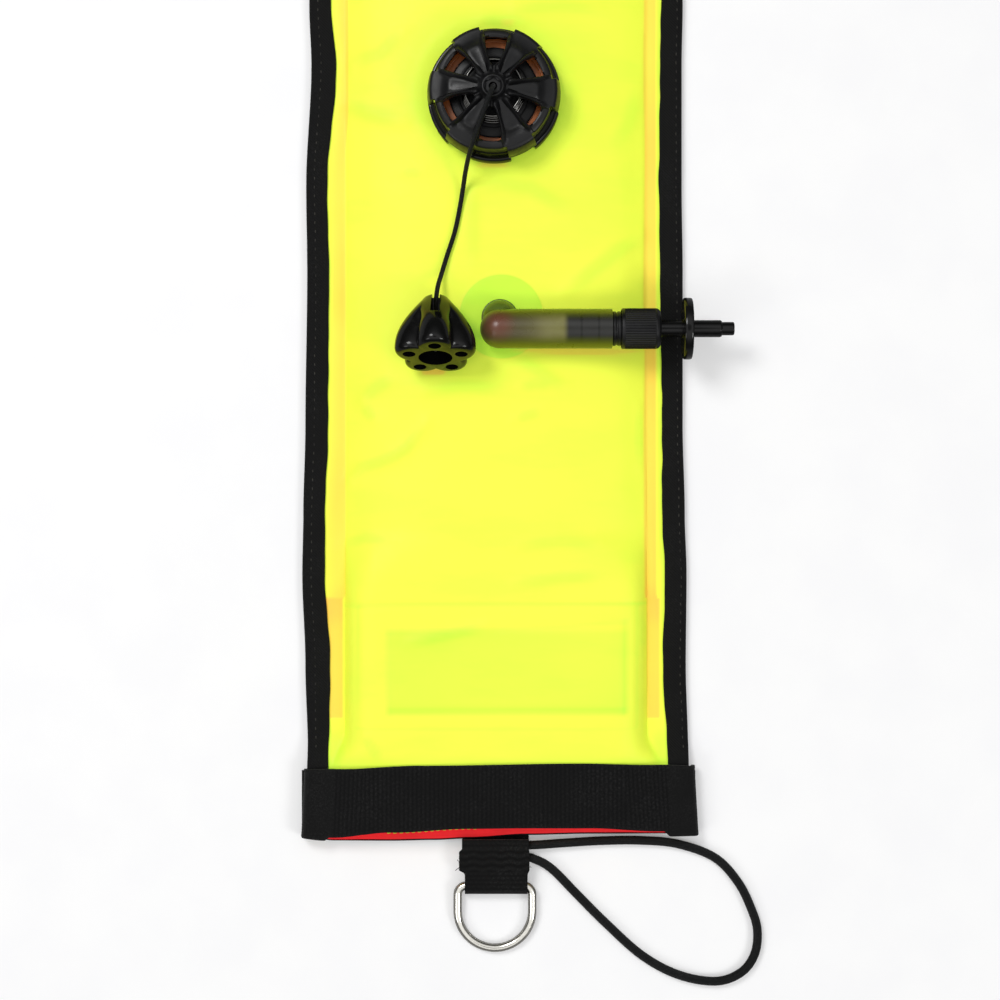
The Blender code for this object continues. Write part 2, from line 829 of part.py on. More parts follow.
def build_cap(black, place):
    """The cap: a domed spider of fan-shaped spokes whose ends come down over the body as lugs."""
    rim_low = BODY_HEIGHT + GAP
    skirt_r = BODY_R - BODY_WALL - GAP
    outward = spaced(HUB_R, BODY_R, 7)
    top = [(radius, dome_height(radius)) for radius in outward]
    under = [(radius, dome_height(radius) - CAP_SHELL) for radius in outward if radius < skirt_r - CAP_WALL]
    hub_top = dome_height(0.0) + HUB_RISE
    profile = [(HUB_BORE_R, hub_top - HUB_RISE - CAP_SHELL)] + under
    profile += [(skirt_r - CAP_WALL, dome_height(skirt_r - CAP_WALL) - CAP_SHELL)]
    profile += [(skirt_r - CAP_WALL, rim_low - CAP_SKIRT), (skirt_r, rim_low - CAP_SKIRT), (skirt_r, rim_low)]
    profile += [(BODY_R, rim_low)] + top[::-1] + [(HUB_R, hub_top), (HUB_BORE_R, hub_top)]
    cap = turned("dump_valve_cap", profile, black, place, VALVE_STEPS)
    for k in range(SPOKES):
        middle = 2 * math.pi * k / SPOKES
        lug = arc_block(
            f"lug_{k}",
            BODY_R + GAP,
            BODY_R + GAP + LUG,
            rim_low - LUG_DROP,
            rim_low + CAP_RIM,
            middle,
            LUG_ARC,
            4,
        )
        lug.matrix_world = place
        bridge = arc_block(
            f"lug_root_{k}",
            BODY_R - LUG,
            BODY_R + GAP + LUG / 2,
            rim_low + CAP_RIM * 0.2,
            rim_low + CAP_RIM * 0.8,
            middle,
            LUG_ARC * 0.9,
            4,
        )
        bridge.matrix_world = place
        combine(cap, bridge, "UNION")
        combine(cap, lug, "UNION")
        cutter = window_cutter(f"window_{k}", middle + math.pi / SPOKES)
        cutter.matrix_world = place
        combine(cap, cutter, "DIFFERENCE")


def window_cutter(name, middle):
    low = BODY_HEIGHT - CAP_SKIRT
    high = dome_height(0.0) + HUB_RISE
    inner = WINDOW_INNER_WIDTH / 2
    outer = WINDOW_OUTER_WIDTH / 2
    corner = (WINDOW_OUTER_R - WINDOW_INNER_R) * 0.12
    outline = [
        (WINDOW_INNER_R, -inner),
        (WINDOW_OUTER_R - 1.6 * corner, -outer),
        (WINDOW_OUTER_R - 0.5 * corner, -outer + 0.6 * corner),
        (WINDOW_OUTER_R, 0.0),
        (WINDOW_OUTER_R - 0.5 * corner, outer - 0.6 * corner),
        (WINDOW_OUTER_R - 1.6 * corner, outer),
        (WINDOW_INNER_R, inner),
    ]
    turn = Matrix.Rotation(middle, 3, "Z")
    sections = [[tuple(turn @ Vector((x, y, z))) for x, y in outline] for z in (low, high)]
    obj = loft(name, sections, bpy.data.materials["valve_black"])
    obj.hide_render = True
    obj.display_type = "WIRE"
    return obj


def knob_radius(part, angle):
    """Radius of the lobed bell at a part of its length from the apex, at an angle round its axis."""
    bell = math.sin(math.pi / 2 * min(part * 1.25, 1.0)) ** 0.8
    crest = KNOB_APEX_R + (KNOB_R - KNOB_APEX_R) * bell
    valley = KNOB_APEX_R + (KNOB_VALLEY_R - KNOB_APEX_R) * bell
    lobe = ((1.0 + math.cos(KNOB_LOBES * angle)) / 2) ** 0.6
    return valley + (crest - valley) * lobe


def knob_place():
    """Position and turn of the knob, lying on two of its lobes. Its own Z runs from apex to mouth."""
    lean = Matrix.Rotation(math.pi / 2 - KNOB_TILT, 4, "X")
    roll = Matrix.Rotation(math.radians(90), 4, "Z")
    turn = lean @ roll
    lowest = min(
        (turn @ Vector((r * math.cos(a), r * math.sin(a), part * KNOB_LENGTH))).z
        for part in spaced(0.0, 1.0, 11)
        for a in [2 * math.pi * k / KNOB_STEPS for k in range(KNOB_STEPS)]
        for r in [knob_radius(part, a)]
    )
    level = panel_top(0.0, KNOB_Y) + GAP - lowest
    return Matrix.Translation((KNOB_X, KNOB_Y, level)) @ turn, turn @ Vector((0.0, 0.0, 1.0))


def build_knob(materials):
    place, outward = knob_place()
    steps = KNOB_STEPS
    rings = []
    for part in (0.0, 0.06, 0.16, 0.28, 0.42, 0.58, 0.76, 0.92):
        rings.append((lambda angle, part=part: knob_radius(part, angle), part * KNOB_LENGTH))
    rings.append((lambda angle: knob_radius(1.0, angle) * 0.96, KNOB_LENGTH))
    rings.append((lambda angle: KNOB_RECESS_R, KNOB_LENGTH))
    rings.append((lambda angle: KNOB_RECESS_R * 0.9, KNOB_LENGTH - KNOB_RECESS))
    rings.append((lambda angle: KNOB_BORE_R, KNOB_LENGTH - KNOB_RECESS))
    rings.append((lambda angle: KNOB_BORE_R, 0.0))
    points = []
    for radius, height in rings:
        for k in range(steps):
            angle = 2 * math.pi * k / steps
            reach = radius(angle)
            points.append((reach * math.cos(angle), reach * math.sin(angle), height))
    faces = []
    for j in range(len(rings)):
        after = (j + 1) % len(rings)
        for k in range(steps):
            near = (k + 1) % steps
            faces.append((j * steps + k, j * steps + near, after * steps + near, after * steps + k))
    knob = make_object("dump_knob", mesh_from("dump_knob", points, faces), materials["gloss_black"])
    knob.matrix_world = place
    knot_low = KNOB_LENGTH - KNOB_RECESS + GAP
    turned(
        "dump_cord_knot",
        [
            (0.0, knot_low),
            (KNOT_R * 0.7, knot_low),
            (KNOT_R, knot_low + KNOT_LENGTH * 0.35),
            (KNOT_R * 0.85, knot_low + KNOT_LENGTH * 0.75),
            (0.0, knot_low + KNOT_LENGTH),
        ],
        materials["cord"],
        place,
        ROUND_STEPS // 2,
    )
    return place.translation, outward


def dump_cord_stops(post_top, apex, outward):
    """The pull cord's route, out of the hub, over the cap and down to the knob's apex."""
    ground = panel_top(VALVE_X, VALVE_Y)
    over = [
        (-0.0009, 0.2678, 0.0201),
        (-0.0014, 0.2664, 0.0229),
        (-0.0022, 0.2643, 0.0236),
        (-0.0037, 0.2603, 0.0227),
        (-0.0054, 0.2557, 0.0215),
        (-0.0072, 0.2509, 0.0197),
        (-0.0087, 0.2469, 0.0177),
        (-0.0100, 0.2431, 0.0148),
        (-0.0109, 0.2399, 0.0110),
        (-0.0117, 0.2365, 0.0066),
        (-0.0125, 0.2320, 0.0027),
        (-0.0137, 0.2250, 0.0014),
        (-0.0156, 0.2160, 0.0013),
        (-0.0185, 0.2070, 0.0014),
        (-0.0206, 0.2000, 0.0024),
    ]
    stops = [(VALVE_X, VALVE_Y, post_top), (VALVE_X, VALVE_Y, post_top + 0.0035)]
    stops += [(x, y, ground + height) for x, y, height in over]
    stops += [tuple(apex - outward * 0.0040), tuple(apex - outward * GAP)]
    return stops


def along_x(x, z):
    """Places a piece turned about Z so that its own height runs along +X on the inflator's axis."""
    return Matrix.Translation((x, HOSE_Y, z)) @ Matrix.Rotation(math.pi / 2, 4, "Y")


def build_inflator(materials):
    ground = panel_top(LEG_X, LEG_Y)
    axis_z = ground + GAP + HOSE_R
    black = materials["valve_black"]
    build_inflator_flange(materials, ground)
    build_elbow(materials, ground, axis_z)
    hose_end = LEG_X + HOSE_LENGTH
    body_start = hose_end + GAP - BARB_LENGTH
    place = along_x(body_start, axis_z)
    inner_r = HOSE_R - HOSE_WALL - GAP - BARB
    barbs = []
    for at in BARB_AT:
        barbs += [(inner_r, at), (inner_r + BARB, at + BARB), (inner_r, at + 5 * BARB)]
    thread_start = BARB_LENGTH + COLLAR_LENGTH
    body_end = thread_start + THREAD_LENGTH
    chamber_end = thread_start - COLLAR_LENGTH / 3
    guide_r = STEM_R + GAP
    turned(
        "inflator_body",
        [(CHAMBER_R, 0.0), (inner_r, 0.0)]
        + barbs
        + [
            (inner_r, BARB_LENGTH),
            (COLLAR_R, BARB_LENGTH),
            (COLLAR_R, thread_start),
            (THREAD_R, thread_start),
            (THREAD_R, body_end),
            (guide_r, body_end),
            (guide_r, chamber_end),
            (CHAMBER_R, chamber_end),
            (CHAMBER_R, LEDGE_AT + LEDGE),
            (LEDGE_BORE_R, LEDGE_AT + LEDGE),
            (LEDGE_BORE_R, LEDGE_AT),
            (CHAMBER_R, LEDGE_AT),
        ],
        black,
        place,
    )
    nut_start = thread_start + GAP
    build_lock_nut(materials, place, nut_start)
    build_stem(materials, place, nut_start + NUT_LENGTH)
    spring_start = LEDGE_AT + LEDGE + GAP
    shoulder = spring_start + STEM_SHOULDER - 2 * GAP
    coil_r = (STEM_NECK_R + CHAMBER_R) / 2
    spring = wound_spring(
        "inflator_spring",
        coil_r,
        coil_r,
        shoulder - spring_start,
        INNER_SPRING_TURNS,
        INNER_SPRING_WIRE,
        materials["steel"],
    )
    spring.matrix_world = place @ Matrix.Translation((0.0, 0.0, spring_start))


def build_inflator_flange(materials, ground):
    top = front_level(LEG_X + INFLATOR_FLANGE_R, LEG_Y) - GAP
    low = top - INFLATOR_FLANGE
    outer = LEG_BORE_R - GAP
    bore = outer - SPIGOT_WALL
    turned(
        "inflator_flange",
        [
            (bore, low),
            (INFLATOR_FLANGE_R, low),
            (INFLATOR_FLANGE_R, top),
            (outer, top),
            (outer, ground + SPIGOT_RISE),
            (bore, ground + SPIGOT_RISE),
        ],
        materials["flange"],
        Matrix.Translation((LEG_X, LEG_Y, 0.0)),
    )


def round_end(radius, length, steps=6):
    """Profile of a rod along +Z whose start is a half ball."""
    profile = [(radius * math.sin(a), -radius * math.cos(a)) for a in spaced(0.0, math.pi / 2, steps)]
    return profile + [(radius, length), (0.0, length)]


def build_elbow(materials, ground, axis_z):
    """The translucent elbow: a lying hose with a round end, joined to a short standing leg."""
    bore_r = HOSE_R - HOSE_WALL
    lying = along_x(LEG_X, axis_z)
    standing = Matrix.Translation((LEG_X, LEG_Y, 0.0))
    leg_low = ground + GAP
    ball_level = axis_z - (HOSE_R - LEG_R) - LEG_R / 2
    elbow = turned("inflator_elbow", round_end(HOSE_R, HOSE_LENGTH), materials["smoky"], lying)
    upright = [(0.0, leg_low), (LEG_R, leg_low)]
    upright += [
        (LEG_R * math.cos(a), ball_level + LEG_R * math.sin(a)) for a in spaced(0.0, math.pi / 2, 6)
    ]
    leg = helper("elbow_leg", turned_mesh("elbow_leg", upright), standing)
    combine(elbow, leg, "UNION")
    lying_bore = helper("hose_bore", turned_mesh("hose_bore", round_end(bore_r, 2 * HOSE_LENGTH)), lying)
    combine(elbow, lying_bore, "DIFFERENCE")
    hollow = [(0.0, leg_low - HOSE_R), (LEG_BORE_R, leg_low - HOSE_R)]
    hollow += [
        (LEG_BORE_R * math.cos(a), ball_level + LEG_BORE_R * math.sin(a)) for a in spaced(0.0, math.pi / 2, 6)
    ]
    leg_bore = helper("leg_bore", turned_mesh("leg_bore", hollow), standing)
    combine(elbow, leg_bore, "DIFFERENCE")


def build_lock_nut(materials, place, start):
    """The knurled lock nut on the thread, with its ring in a groove at its near end."""
    bore = THREAD_R + GAP
    groove_r = bore + O_RING_RADIAL + GAP
    groove = O_RING + 2 * GAP
    end = start + NUT_LENGTH
    hole = STEM_R + GAP
    chamfer = KNURL * 3
    steps = KNURLS * 2
    profile = [
        (groove_r, start, False),
        (NUT_R - chamfer, start, False),
        (NUT_R, start + chamfer, True),
        (NUT_R, end - chamfer, True),
        (NUT_R - chamfer, end, False),
        (hole, end, False),
        (hole, end - NUT_WALL, False),
        (bore, end - NUT_WALL, False),
        (bore, start + groove, False),
        (groove_r, start + groove, False),
    ]
    points = []
    for radius, height, knurled in profile:
        for k in range(steps):
            angle = 2 * math.pi * k / steps
            reach = radius - (KNURL if knurled and k % 2 else 0.0)
            points.append((reach * math.cos(angle), reach * math.sin(angle), height))
    faces = []
    for j in range(len(profile)):
        after = (j + 1) % len(profile)
        for k in range(steps):
            near = (k + 1) % steps
            faces.append((j * steps + k, j * steps + near, after * steps + near, after * steps + k))
    nut = make_object("inflator_lock_nut", mesh_from("lock_nut", points, faces), materials["valve_black"])
    nut.matrix_world = place
    ring_low = start + GAP
    turned(
        "lock_nut_o_ring",
        [
            (bore, ring_low),
            (bore + O_RING_RADIAL, ring_low),
            (bore + O_RING_RADIAL, ring_low + O_RING),
            (bore, ring_low + O_RING),
        ],
        materials["rubber"],
        place,
    )


def build_stem(materials, place, nut_end):
    """The hollow stem that a push on its disc drives inwards, off the valve's seat."""
    black = materials["gloss_black"]
    shoulder = LEDGE_AT + LEDGE + STEM_SHOULDER
    disc_low = nut_end + STEM_TO_DISC
    disc_top = disc_low + DISC
    tip_low = disc_top + STEM_PAST_DISC
    tip_top = tip_low + TIP_LENGTH
    seal_top = LEDGE_AT - GAP
    seal_low = seal_top - VALVE_DISC
    head_top = seal_low - GAP
    groove = GAP * 2
    turned(
        "inflator_stem",
        [
            (0.0, head_top - SPINDLE_HEAD),
            (SPINDLE_HEAD_R, head_top - SPINDLE_HEAD),
            (SPINDLE_HEAD_R, head_top),
            (SPINDLE_R, head_top),
            (SPINDLE_R, seal_top + GAP),
            (STEM_NECK_R, seal_top + GAP),
            (STEM_NECK_R, shoulder),
            (STEM_R, shoulder),
            (STEM_R, tip_low - groove),
            (STEM_R - groove, tip_low),
            (TIP_R, tip_low),
            (TIP_R, tip_top - groove),
            (TIP_R - groove, tip_top),
            (STEM_BORE_R, tip_top),
            (STEM_BORE_R, shoulder + STEM_R),
            (0.0, shoulder + STEM_R),
        ],
        black,
        place,
    )
    turned(
        "inflator_valve_disc",
        [
            (SPINDLE_R + GAP, seal_low),
            (VALVE_DISC_R, seal_low),
            (VALVE_DISC_R, seal_top),
            (SPINDLE_R + GAP, seal_top),
        ],
        materials["rubber"],
        place,
    )
    bore = STEM_R + GAP
    turned(
        "inflator_disc",
        [
            (bore, disc_low),
            (DISC_R - DISC_ROUND, disc_low),
            (DISC_R - DISC_ROUND * 0.3, disc_low + DISC_ROUND * 0.3),
            (DISC_R, disc_low + DISC_ROUND),
            (DISC_R, disc_top - DISC_ROUND),
            (DISC_R - DISC_ROUND * 0.3, disc_top - DISC_ROUND * 0.3),
            (DISC_R - DISC_ROUND, disc_top),
            (bore, disc_top),
        ],
        black,
        place,
        VALVE_STEPS,
    )


def build_cords(materials, post_top, apex, outward):
    tube("bungee_loop", smooth_route(bungee_stops(), 2.1 * BUNGEE), BUNGEE / 2, 2, materials["cord"])
    stops = dump_cord_stops(post_top, apex, outward)
    tube("dump_cord", smooth_route(stops, 1.5 * CORD), CORD / 2, 2, materials["cord"])


def all_materials():
    return {
        "front": make_material("fluorescent_fabric", (0.85, 0.95, 0.03), 0.5),
        "back": make_material("red_fabric", (0.75, 0.02, 0.02), 0.5),
        "inner": make_material("inner_fabric", (0.80, 0.85, 0.35), 0.6),
        "tape": make_material("edging_tape", (0.02, 0.02, 0.022), 0.8),
        "webbing": make_material("webbing", (0.018, 0.018, 0.02), 0.85),
        "plate": make_material("ballast_steel", (0.45, 0.45, 0.46), 0.4, 1.0),
        "steel": make_material("stainless_steel", (0.72, 0.71, 0.68), 0.2, 1.0),
        "cord": make_material("elastic_cord", (0.015, 0.015, 0.017), 0.7),
        "valve_black": make_material("valve_black", (0.02, 0.02, 0.022), 0.35),
        "gloss_black": make_material("gloss_black", (0.012, 0.012, 0.013), 0.15),
        "rubber": make_material("black_rubber", (0.03, 0.03, 0.03), 0.7),
        "seal": make_material("amber_silicone", (0.45, 0.13, 0.03), 0.45),
        "flange": make_material("clear_flange", (0.35, 0.6, 0.1), 0.3),
        "smoky": make_material("smoky_hose", (0.2, 0.17, 0.14), 0.2),
    }


def main():
    clear_scene()
    materials = all_materials()
    build_bag(materials)
    build_mouth_bands(materials["webbing"])
    build_tether(materials)
    post_top = build_dump_valve(materials)
    apex, outward = build_knob(materials)
    build_inflator(materials)
    build_cords(materials, post_top, apex, outward)


main()
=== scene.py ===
"""Surface marker buoy, dressed for rendering: fabric, webbing, valves, cords, light and camera.

Metres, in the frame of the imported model: +Y up the buoy, +Z out of its yellow face. The stops for
through() and the sizes of turned and moulded pieces are in millimetres.
"""

import json
import math

import bmesh
import bpy
import numpy as np
from mathutils import Matrix, Vector


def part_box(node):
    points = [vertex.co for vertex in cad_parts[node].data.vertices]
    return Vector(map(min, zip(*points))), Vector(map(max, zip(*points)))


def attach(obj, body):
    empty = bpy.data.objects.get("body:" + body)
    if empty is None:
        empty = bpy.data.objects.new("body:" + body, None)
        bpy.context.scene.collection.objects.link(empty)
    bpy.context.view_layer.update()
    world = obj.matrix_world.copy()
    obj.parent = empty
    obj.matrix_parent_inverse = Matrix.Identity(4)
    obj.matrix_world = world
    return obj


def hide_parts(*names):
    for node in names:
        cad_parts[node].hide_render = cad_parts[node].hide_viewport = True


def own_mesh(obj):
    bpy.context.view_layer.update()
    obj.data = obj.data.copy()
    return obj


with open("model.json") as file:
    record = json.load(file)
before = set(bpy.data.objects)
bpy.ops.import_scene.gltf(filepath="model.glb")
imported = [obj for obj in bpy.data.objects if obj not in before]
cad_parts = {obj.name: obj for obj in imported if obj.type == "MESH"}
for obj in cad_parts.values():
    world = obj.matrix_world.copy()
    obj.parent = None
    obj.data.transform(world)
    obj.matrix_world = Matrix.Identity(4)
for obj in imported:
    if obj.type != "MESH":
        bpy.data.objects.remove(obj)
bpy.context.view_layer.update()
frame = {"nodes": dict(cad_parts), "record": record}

# The photograph: its size in pixels, the width of floor it shows, and the camera above the buoy.
PHOTO = 1000
VIEW_WIDTH = 0.385
CAMERA = (0.00154, 0.11435, 0.830)
SENSOR = 36.0

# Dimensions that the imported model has.
GAP = 0.0003
MOUTH_Y = -0.0142
TOP_Y = 1.1858
PANEL_TOP_Y = 1.1849
TAPE = 0.0006
TAPE_WIDTH = 0.0098
TAPE_INNER_X = 0.0632
PANEL_HALF = 0.0721
SEAM_X = 0.058
FABRIC = 0.0006
INNER_FABRIC = 0.0004
CROWN = 0.0108
PANEL_Z = CROWN + FABRIC
CROWN_POWER = 3.5
FLAT_POWER = 16
FLAT_RAMP = 0.030
PANEL_DIP = 0.008
TOP_TAPER = 0.070
BAND_TOP_Y = 0.0109
MOUTH_RAMP = 0.014
MOUTH_RISE = 0.003
PANEL_RISE = 0.0009
EDGE_LEVEL = 0.0018
TAPE_HEIGHT = EDGE_LEVEL + FABRIC + GAP + TAPE
POCKET_TOP_Y = 0.07405
WEBBING = 0.0012
BAND_WIDTH = 0.0248
VALVE = (-0.0008, 0.268)
LEG = (0.0015, 0.1836)
HOSE_Y = 0.1788
HOSE_Z = 0.01915
INSERT_X = 0.0268
RING_BAR = (-0.0004, -0.0335, 0.0032)
BUNGEE = 0.0034
CORD = 0.0018

# The size of a pixel at the level of the front fabric.
PIXEL = VIEW_WIDTH / PHOTO * (1.0 - PANEL_Z / CAMERA[2])


def photo_point(px, py):
    """The place on the front fabric that shows at a pixel of the photograph."""
    return (CAMERA[0] + (px - PHOTO / 2) * PIXEL, CAMERA[1] + (PHOTO / 2 - py) * PIXEL)


def smooth_step(value):
    value = np.clip(value, 0.0, 1.0)
    return value * value * (3.0 - 2.0 * value)


def window(value, low, high, soft):
    """1 between low and high, falling softly at both."""
    rise = smooth_step((value - low + soft) / (2 * soft))
    return rise * (1.0 - smooth_step((value - high + soft) / (2 * soft)))


def photo_window(x, y, left, low, right, high, soft):
    """1 inside a rectangle of the photograph's pixels, falling softly at its edges."""
    first, last = photo_point(left, low), photo_point(right, high)
    return window(x, first[0], last[0], soft) * window(y, first[1], last[1], soft)


def lift(y):
    """How far the mouth holds both sides of the bag up."""
    return MOUTH_RISE * (1.0 - smooth_step((y - BAND_TOP_Y) / MOUTH_RAMP))


def top_closing(y):
    return 1.0 - smooth_step((y - (TOP_Y - TAPE_WIDTH - TOP_TAPER)) / TOP_TAPER)


def back_level(x, y):
    side = smooth_step((np.abs(x) - (SEAM_X - PANEL_DIP)) / PANEL_DIP)
    end = smooth_step((y - (TOP_Y - TAPE_WIDTH - PANEL_DIP)) / PANEL_DIP)
    return lift(y) + PANEL_RISE * np.maximum(side, end)


def front_level(x, y):
    edge = lift(y) + EDGE_LEVEL
    above = smooth_step((y - BAND_TOP_Y) / MOUTH_RAMP)
    below = 1.0 - smooth_step((y - POCKET_TOP_Y) / FLAT_RAMP)
    half = TAPE_INNER_X + (SEAM_X - TAPE_INNER_X) * above
    power = CROWN_POWER + (FLAT_POWER - CROWN_POWER) * above * below
    across = np.minimum(np.abs(x) / half, 1.0)
    return edge + (CROWN - edge) * top_closing(y) * (1.0 - across**power)


def spaced(start, end, count):
    return [start + (end - start) * i / (count - 1) for i in range(count)]


def steps(*stretches):
    """Values over one or more stretches of (start, end, spacing), each end given once."""
    values = [stretches[0][0]]
    for start, end, spacing in stretches:
        count = max(1, round(abs(end - start) / spacing))
        values += [start + (end - start) * (i + 1) / count for i in range(count)]
    return values


def through(stops, values):
    """Smooth interpolation of (position, value) stops in millimetres, at positions in metres."""
    at, level = np.array(sorted(stops)).T / 1000
    values = np.clip(np.asarray(values, float), at[0], at[-1])
    index = np.clip(np.searchsorted(at, values, side="right") - 1, 0, len(at) - 2)
    part = smooth_step((values - at[index]) / (at[index + 1] - at[index]))
    return level[index] + (level[index + 1] - level[index]) * part


def waves(x, y, size, seed, count=7):
    """Soft irregular waves about size long, between -1 and 1."""
    random = np.random.default_rng(seed)
    total = 0.0
    for _ in range(count):
        angle = random.uniform(0, math.pi)
        length = size * random.uniform(0.7, 1.6)
        phase = random.uniform(0, 2 * math.pi)
        total = total + np.sin(2 * math.pi * (x * math.cos(angle) + y * math.sin(angle)) / length + phase)
    return total / count * 1.6


def turn_angles(count):
    return [2 * math.pi * k / count for k in range(count)]


def polar(reach, angle, height=0.0):
    return Vector((reach * math.cos(angle), reach * math.sin(angle), height))


# Mesh pieces.


def placed(name, data):
    """A new object in the scene."""
    obj = bpy.data.objects.new(name, data)
    bpy.context.scene.collection.objects.link(obj)
    return obj


def piece(name, mesh, slot, *nodes, body="bag", sharp=None, look=None):
    """A named piece that rides on a body and stands for nodes, in its slot's finish or the look named."""
    mesh.name = name
    mesh.materials.append(MATERIALS[look or slot])
    mesh.shade_smooth()
    if sharp is not None:
        mesh.set_sharp_from_angle(angle=math.radians(sharp))
    obj = placed(name, mesh)
    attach(obj, body)
    if nodes:
        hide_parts(*nodes)
    return obj


def mended(mesh, weld=0.0, sliver=0.0):
    """Welds points closer than weld, then dissolves slivers or, without a size for them, turns faces out."""
    work = bmesh.new()
    work.from_mesh(mesh)
    if weld:
        bmesh.ops.remove_doubles(work, verts=work.verts, dist=weld)
    if sliver:
        bmesh.ops.dissolve_degenerate(work, edges=work.edges, dist=sliver)
    else:
        bmesh.ops.recalc_face_normals(work, faces=work.faces)
    work.to_mesh(mesh)
    work.free()
    return mesh


def mesh_from(points, faces, outward=True):
    mesh = bpy.data.meshes.new("part")
    mesh.from_pydata([tuple(map(float, point)) for point in points], [], faces)
    if outward:
        mended(mesh)
    mesh.update()
    return mesh


def add_layer(mesh, name, values):
    """Stores values for the points of the two grids of a shell as a colour layer."""
    layer = mesh.color_attributes.new(name, "FLOAT_COLOR", "POINT")
    colors = np.ones((len(mesh.vertices), 4), np.float32)
    both = np.concatenate([values, values])
    colors[:, : both.shape[1]] = both
    layer.data.foreach_set("color", colors.ravel())


def shell_mesh(low, high):
    """A closed thin shell between two grids of points of one shape."""
    rows, wide = low.shape[:2]
    layer = rows * wide
    faces = []
    for a in (j * wide + i for j in range(rows - 1) for i in range(wide - 1)):
        faces.append((a + wide, a + wide + 1, a + 1, a))
        faces.append((layer + a, layer + a + 1, layer + a + 1 + wide, layer + a + wide))
    grid = np.arange(layer).reshape(rows, wide)
    edge = np.concatenate([grid[0], grid[1:, -1], grid[-1, -2::-1], grid[-2:0:-1, 0]]).tolist()
    faces += [(a, b, b + layer, a + layer) for a, b in zip(edge, edge[1:] + edge[:1])]
    return mesh_from(np.concatenate([low.reshape(-1, 3), high.reshape(-1, 3)]), faces, outward=False)


def raised(grid, thickness):
    return grid + np.array([0, 0, thickness])


def bodies_mesh(bodies, closed_ends=True):
    """One mesh of bodies, each through rings of points of one count."""
    points = []
    faces = []
    for rings in bodies:
        count = len(rings[0])
        first = len(points)
        points += [point for ring in rings for point in ring]
        last = len(points) - count
        for a in range(first, last):
            b = a + 1 if (a + 1 - first) % count else a + 1 - count
            faces.append((a, b, b + count, a + count))
        if closed_ends:
            faces.append(tuple(range(first, first + count))[::-1])
            faces.append(tuple(range(last, last + count)))
    return mesh_from(points, faces)


def smooth_route(stops, spacing):
    """Points at an even spacing on a smooth curve through the stops."""
    stops = [Vector(stop) for stop in stops]
    before = [stops[0] * 2 - stops[1]] + stops + [stops[-1] * 2 - stops[-2]]
    fine = []
    for i in range(1, len(before) - 2):
        p0, p1, p2, p3 = before[i - 1 : i + 3]
        for k in range(24):
            t = k / 24
            bend = 2 * p1 + (p2 - p0) * t + (2 * p0 - 5 * p1 + 4 * p2 - p3) * t * t
            fine.append(0.5 * (bend + (3 * p1 - p0 - 3 * p2 + p3) * t**3))
    fine.append(stops[-1])
    lengths = [0.0]
    for a, b in zip(fine, fine[1:]):
        lengths.append(lengths[-1] + (b - a).length)
    count = max(2, round(lengths[-1] / spacing) + 1)
    route = []
    for value in np.interp(np.linspace(0, lengths[-1], count), lengths, range(len(lengths))):
        i = min(int(value), len(fine) - 2)
        route.append(fine[i].lerp(fine[i + 1], value - i))
    return route


def sides_along(route, cyclic=False):
    """Two side directions at each point of a route, turned as little as possible."""
    count = len(route)
    tangents = []
    for i in range(count):
        ahead = route[(i + 1) % count] if cyclic or i + 1 < count else route[i]
        behind = route[i - 1] if cyclic or i else route[i]
        tangents.append((ahead - behind).normalized())
    side = tangents[0].orthogonal().normalized()
    sides = []
    for tangent in tangents:
        side = (side - tangent * side.dot(tangent)).normalized()
        sides.append((side, tangent.cross(side)))
    return sides


def tube_mesh(route, radius, count, cyclic=False, bump=None):
    """A tube on a route. bump(length, angle) is added to its radius."""
    sections = []
    length = 0.0
    for i, (centre, (side, across)) in enumerate(zip(route, sides_along(route, cyclic))):
        length += (centre - route[i - 1]).length if i else 0.0
        ring = []
        for angle in turn_angles(count):
            reach = radius + (bump(length, angle) if bump else 0.0)
            ring.append(centre + side * reach * math.cos(angle) + across * reach * math.sin(angle))
        sections.append(ring)
    if not cyclic:
        return bodies_mesh([sections])
    return mended(bodies_mesh([sections + sections[:1]], closed_ends=False), weld=1e-6)


def rounded(profile, size, parts=3):
    """Rounds the corners of a closed profile, apart from those on the axis."""
    made = []
    for i, (radius, height) in enumerate(profile):
        corner = Vector((radius, height))
        if radius < 1e-6:
            made.append((radius, height))
            continue
        before = Vector(profile[i - 1]) - corner
        after = Vector(profile[(i + 1) % len(profile)]) - corner
        start = corner + before.normalized() * min(size, before.length * 0.45)
        end = corner + after.normalized() * min(size, after.length * 0.45)
        for k in range(parts + 1):
            t = k / parts
            made.append(tuple(start * (1 - t) ** 2 + corner * 2 * t * (1 - t) + end * t * t))
    return made


def turned_mesh(profile, place, count, soften=None, reach=None):
    """Turns a closed profile of (radius, height) about Z. reach may change a radius with its angle."""
    points = []
    rings = []
    for radius, height in profile if soften is None else rounded(profile, soften):
        radius, height = radius / 1000, height / 1000
        if radius < 1e-7:
            rings.append([len(points)] * count)
            points.append(Vector((0.0, 0.0, height)))
            continue
        rings.append(range(len(points), len(points) + count))
        for angle in turn_angles(count):
            points.append(polar(reach(radius, height, angle) if reach else radius, angle, height))
    faces = []
    for first, second in zip(rings, rings[1:] + rings[:1]):
        for k in range(count):
            near = (k + 1) % count
            corners = dict.fromkeys((first[k], first[near], second[near], second[k]))
            if len(corners) > 2:
                faces.append(tuple(corners))
    return mesh_from([place @ point for point in points], faces)


def bar(low, high, radius):
    return [(0.0, low), (radius, low), (radius, high), (0.0, high)]


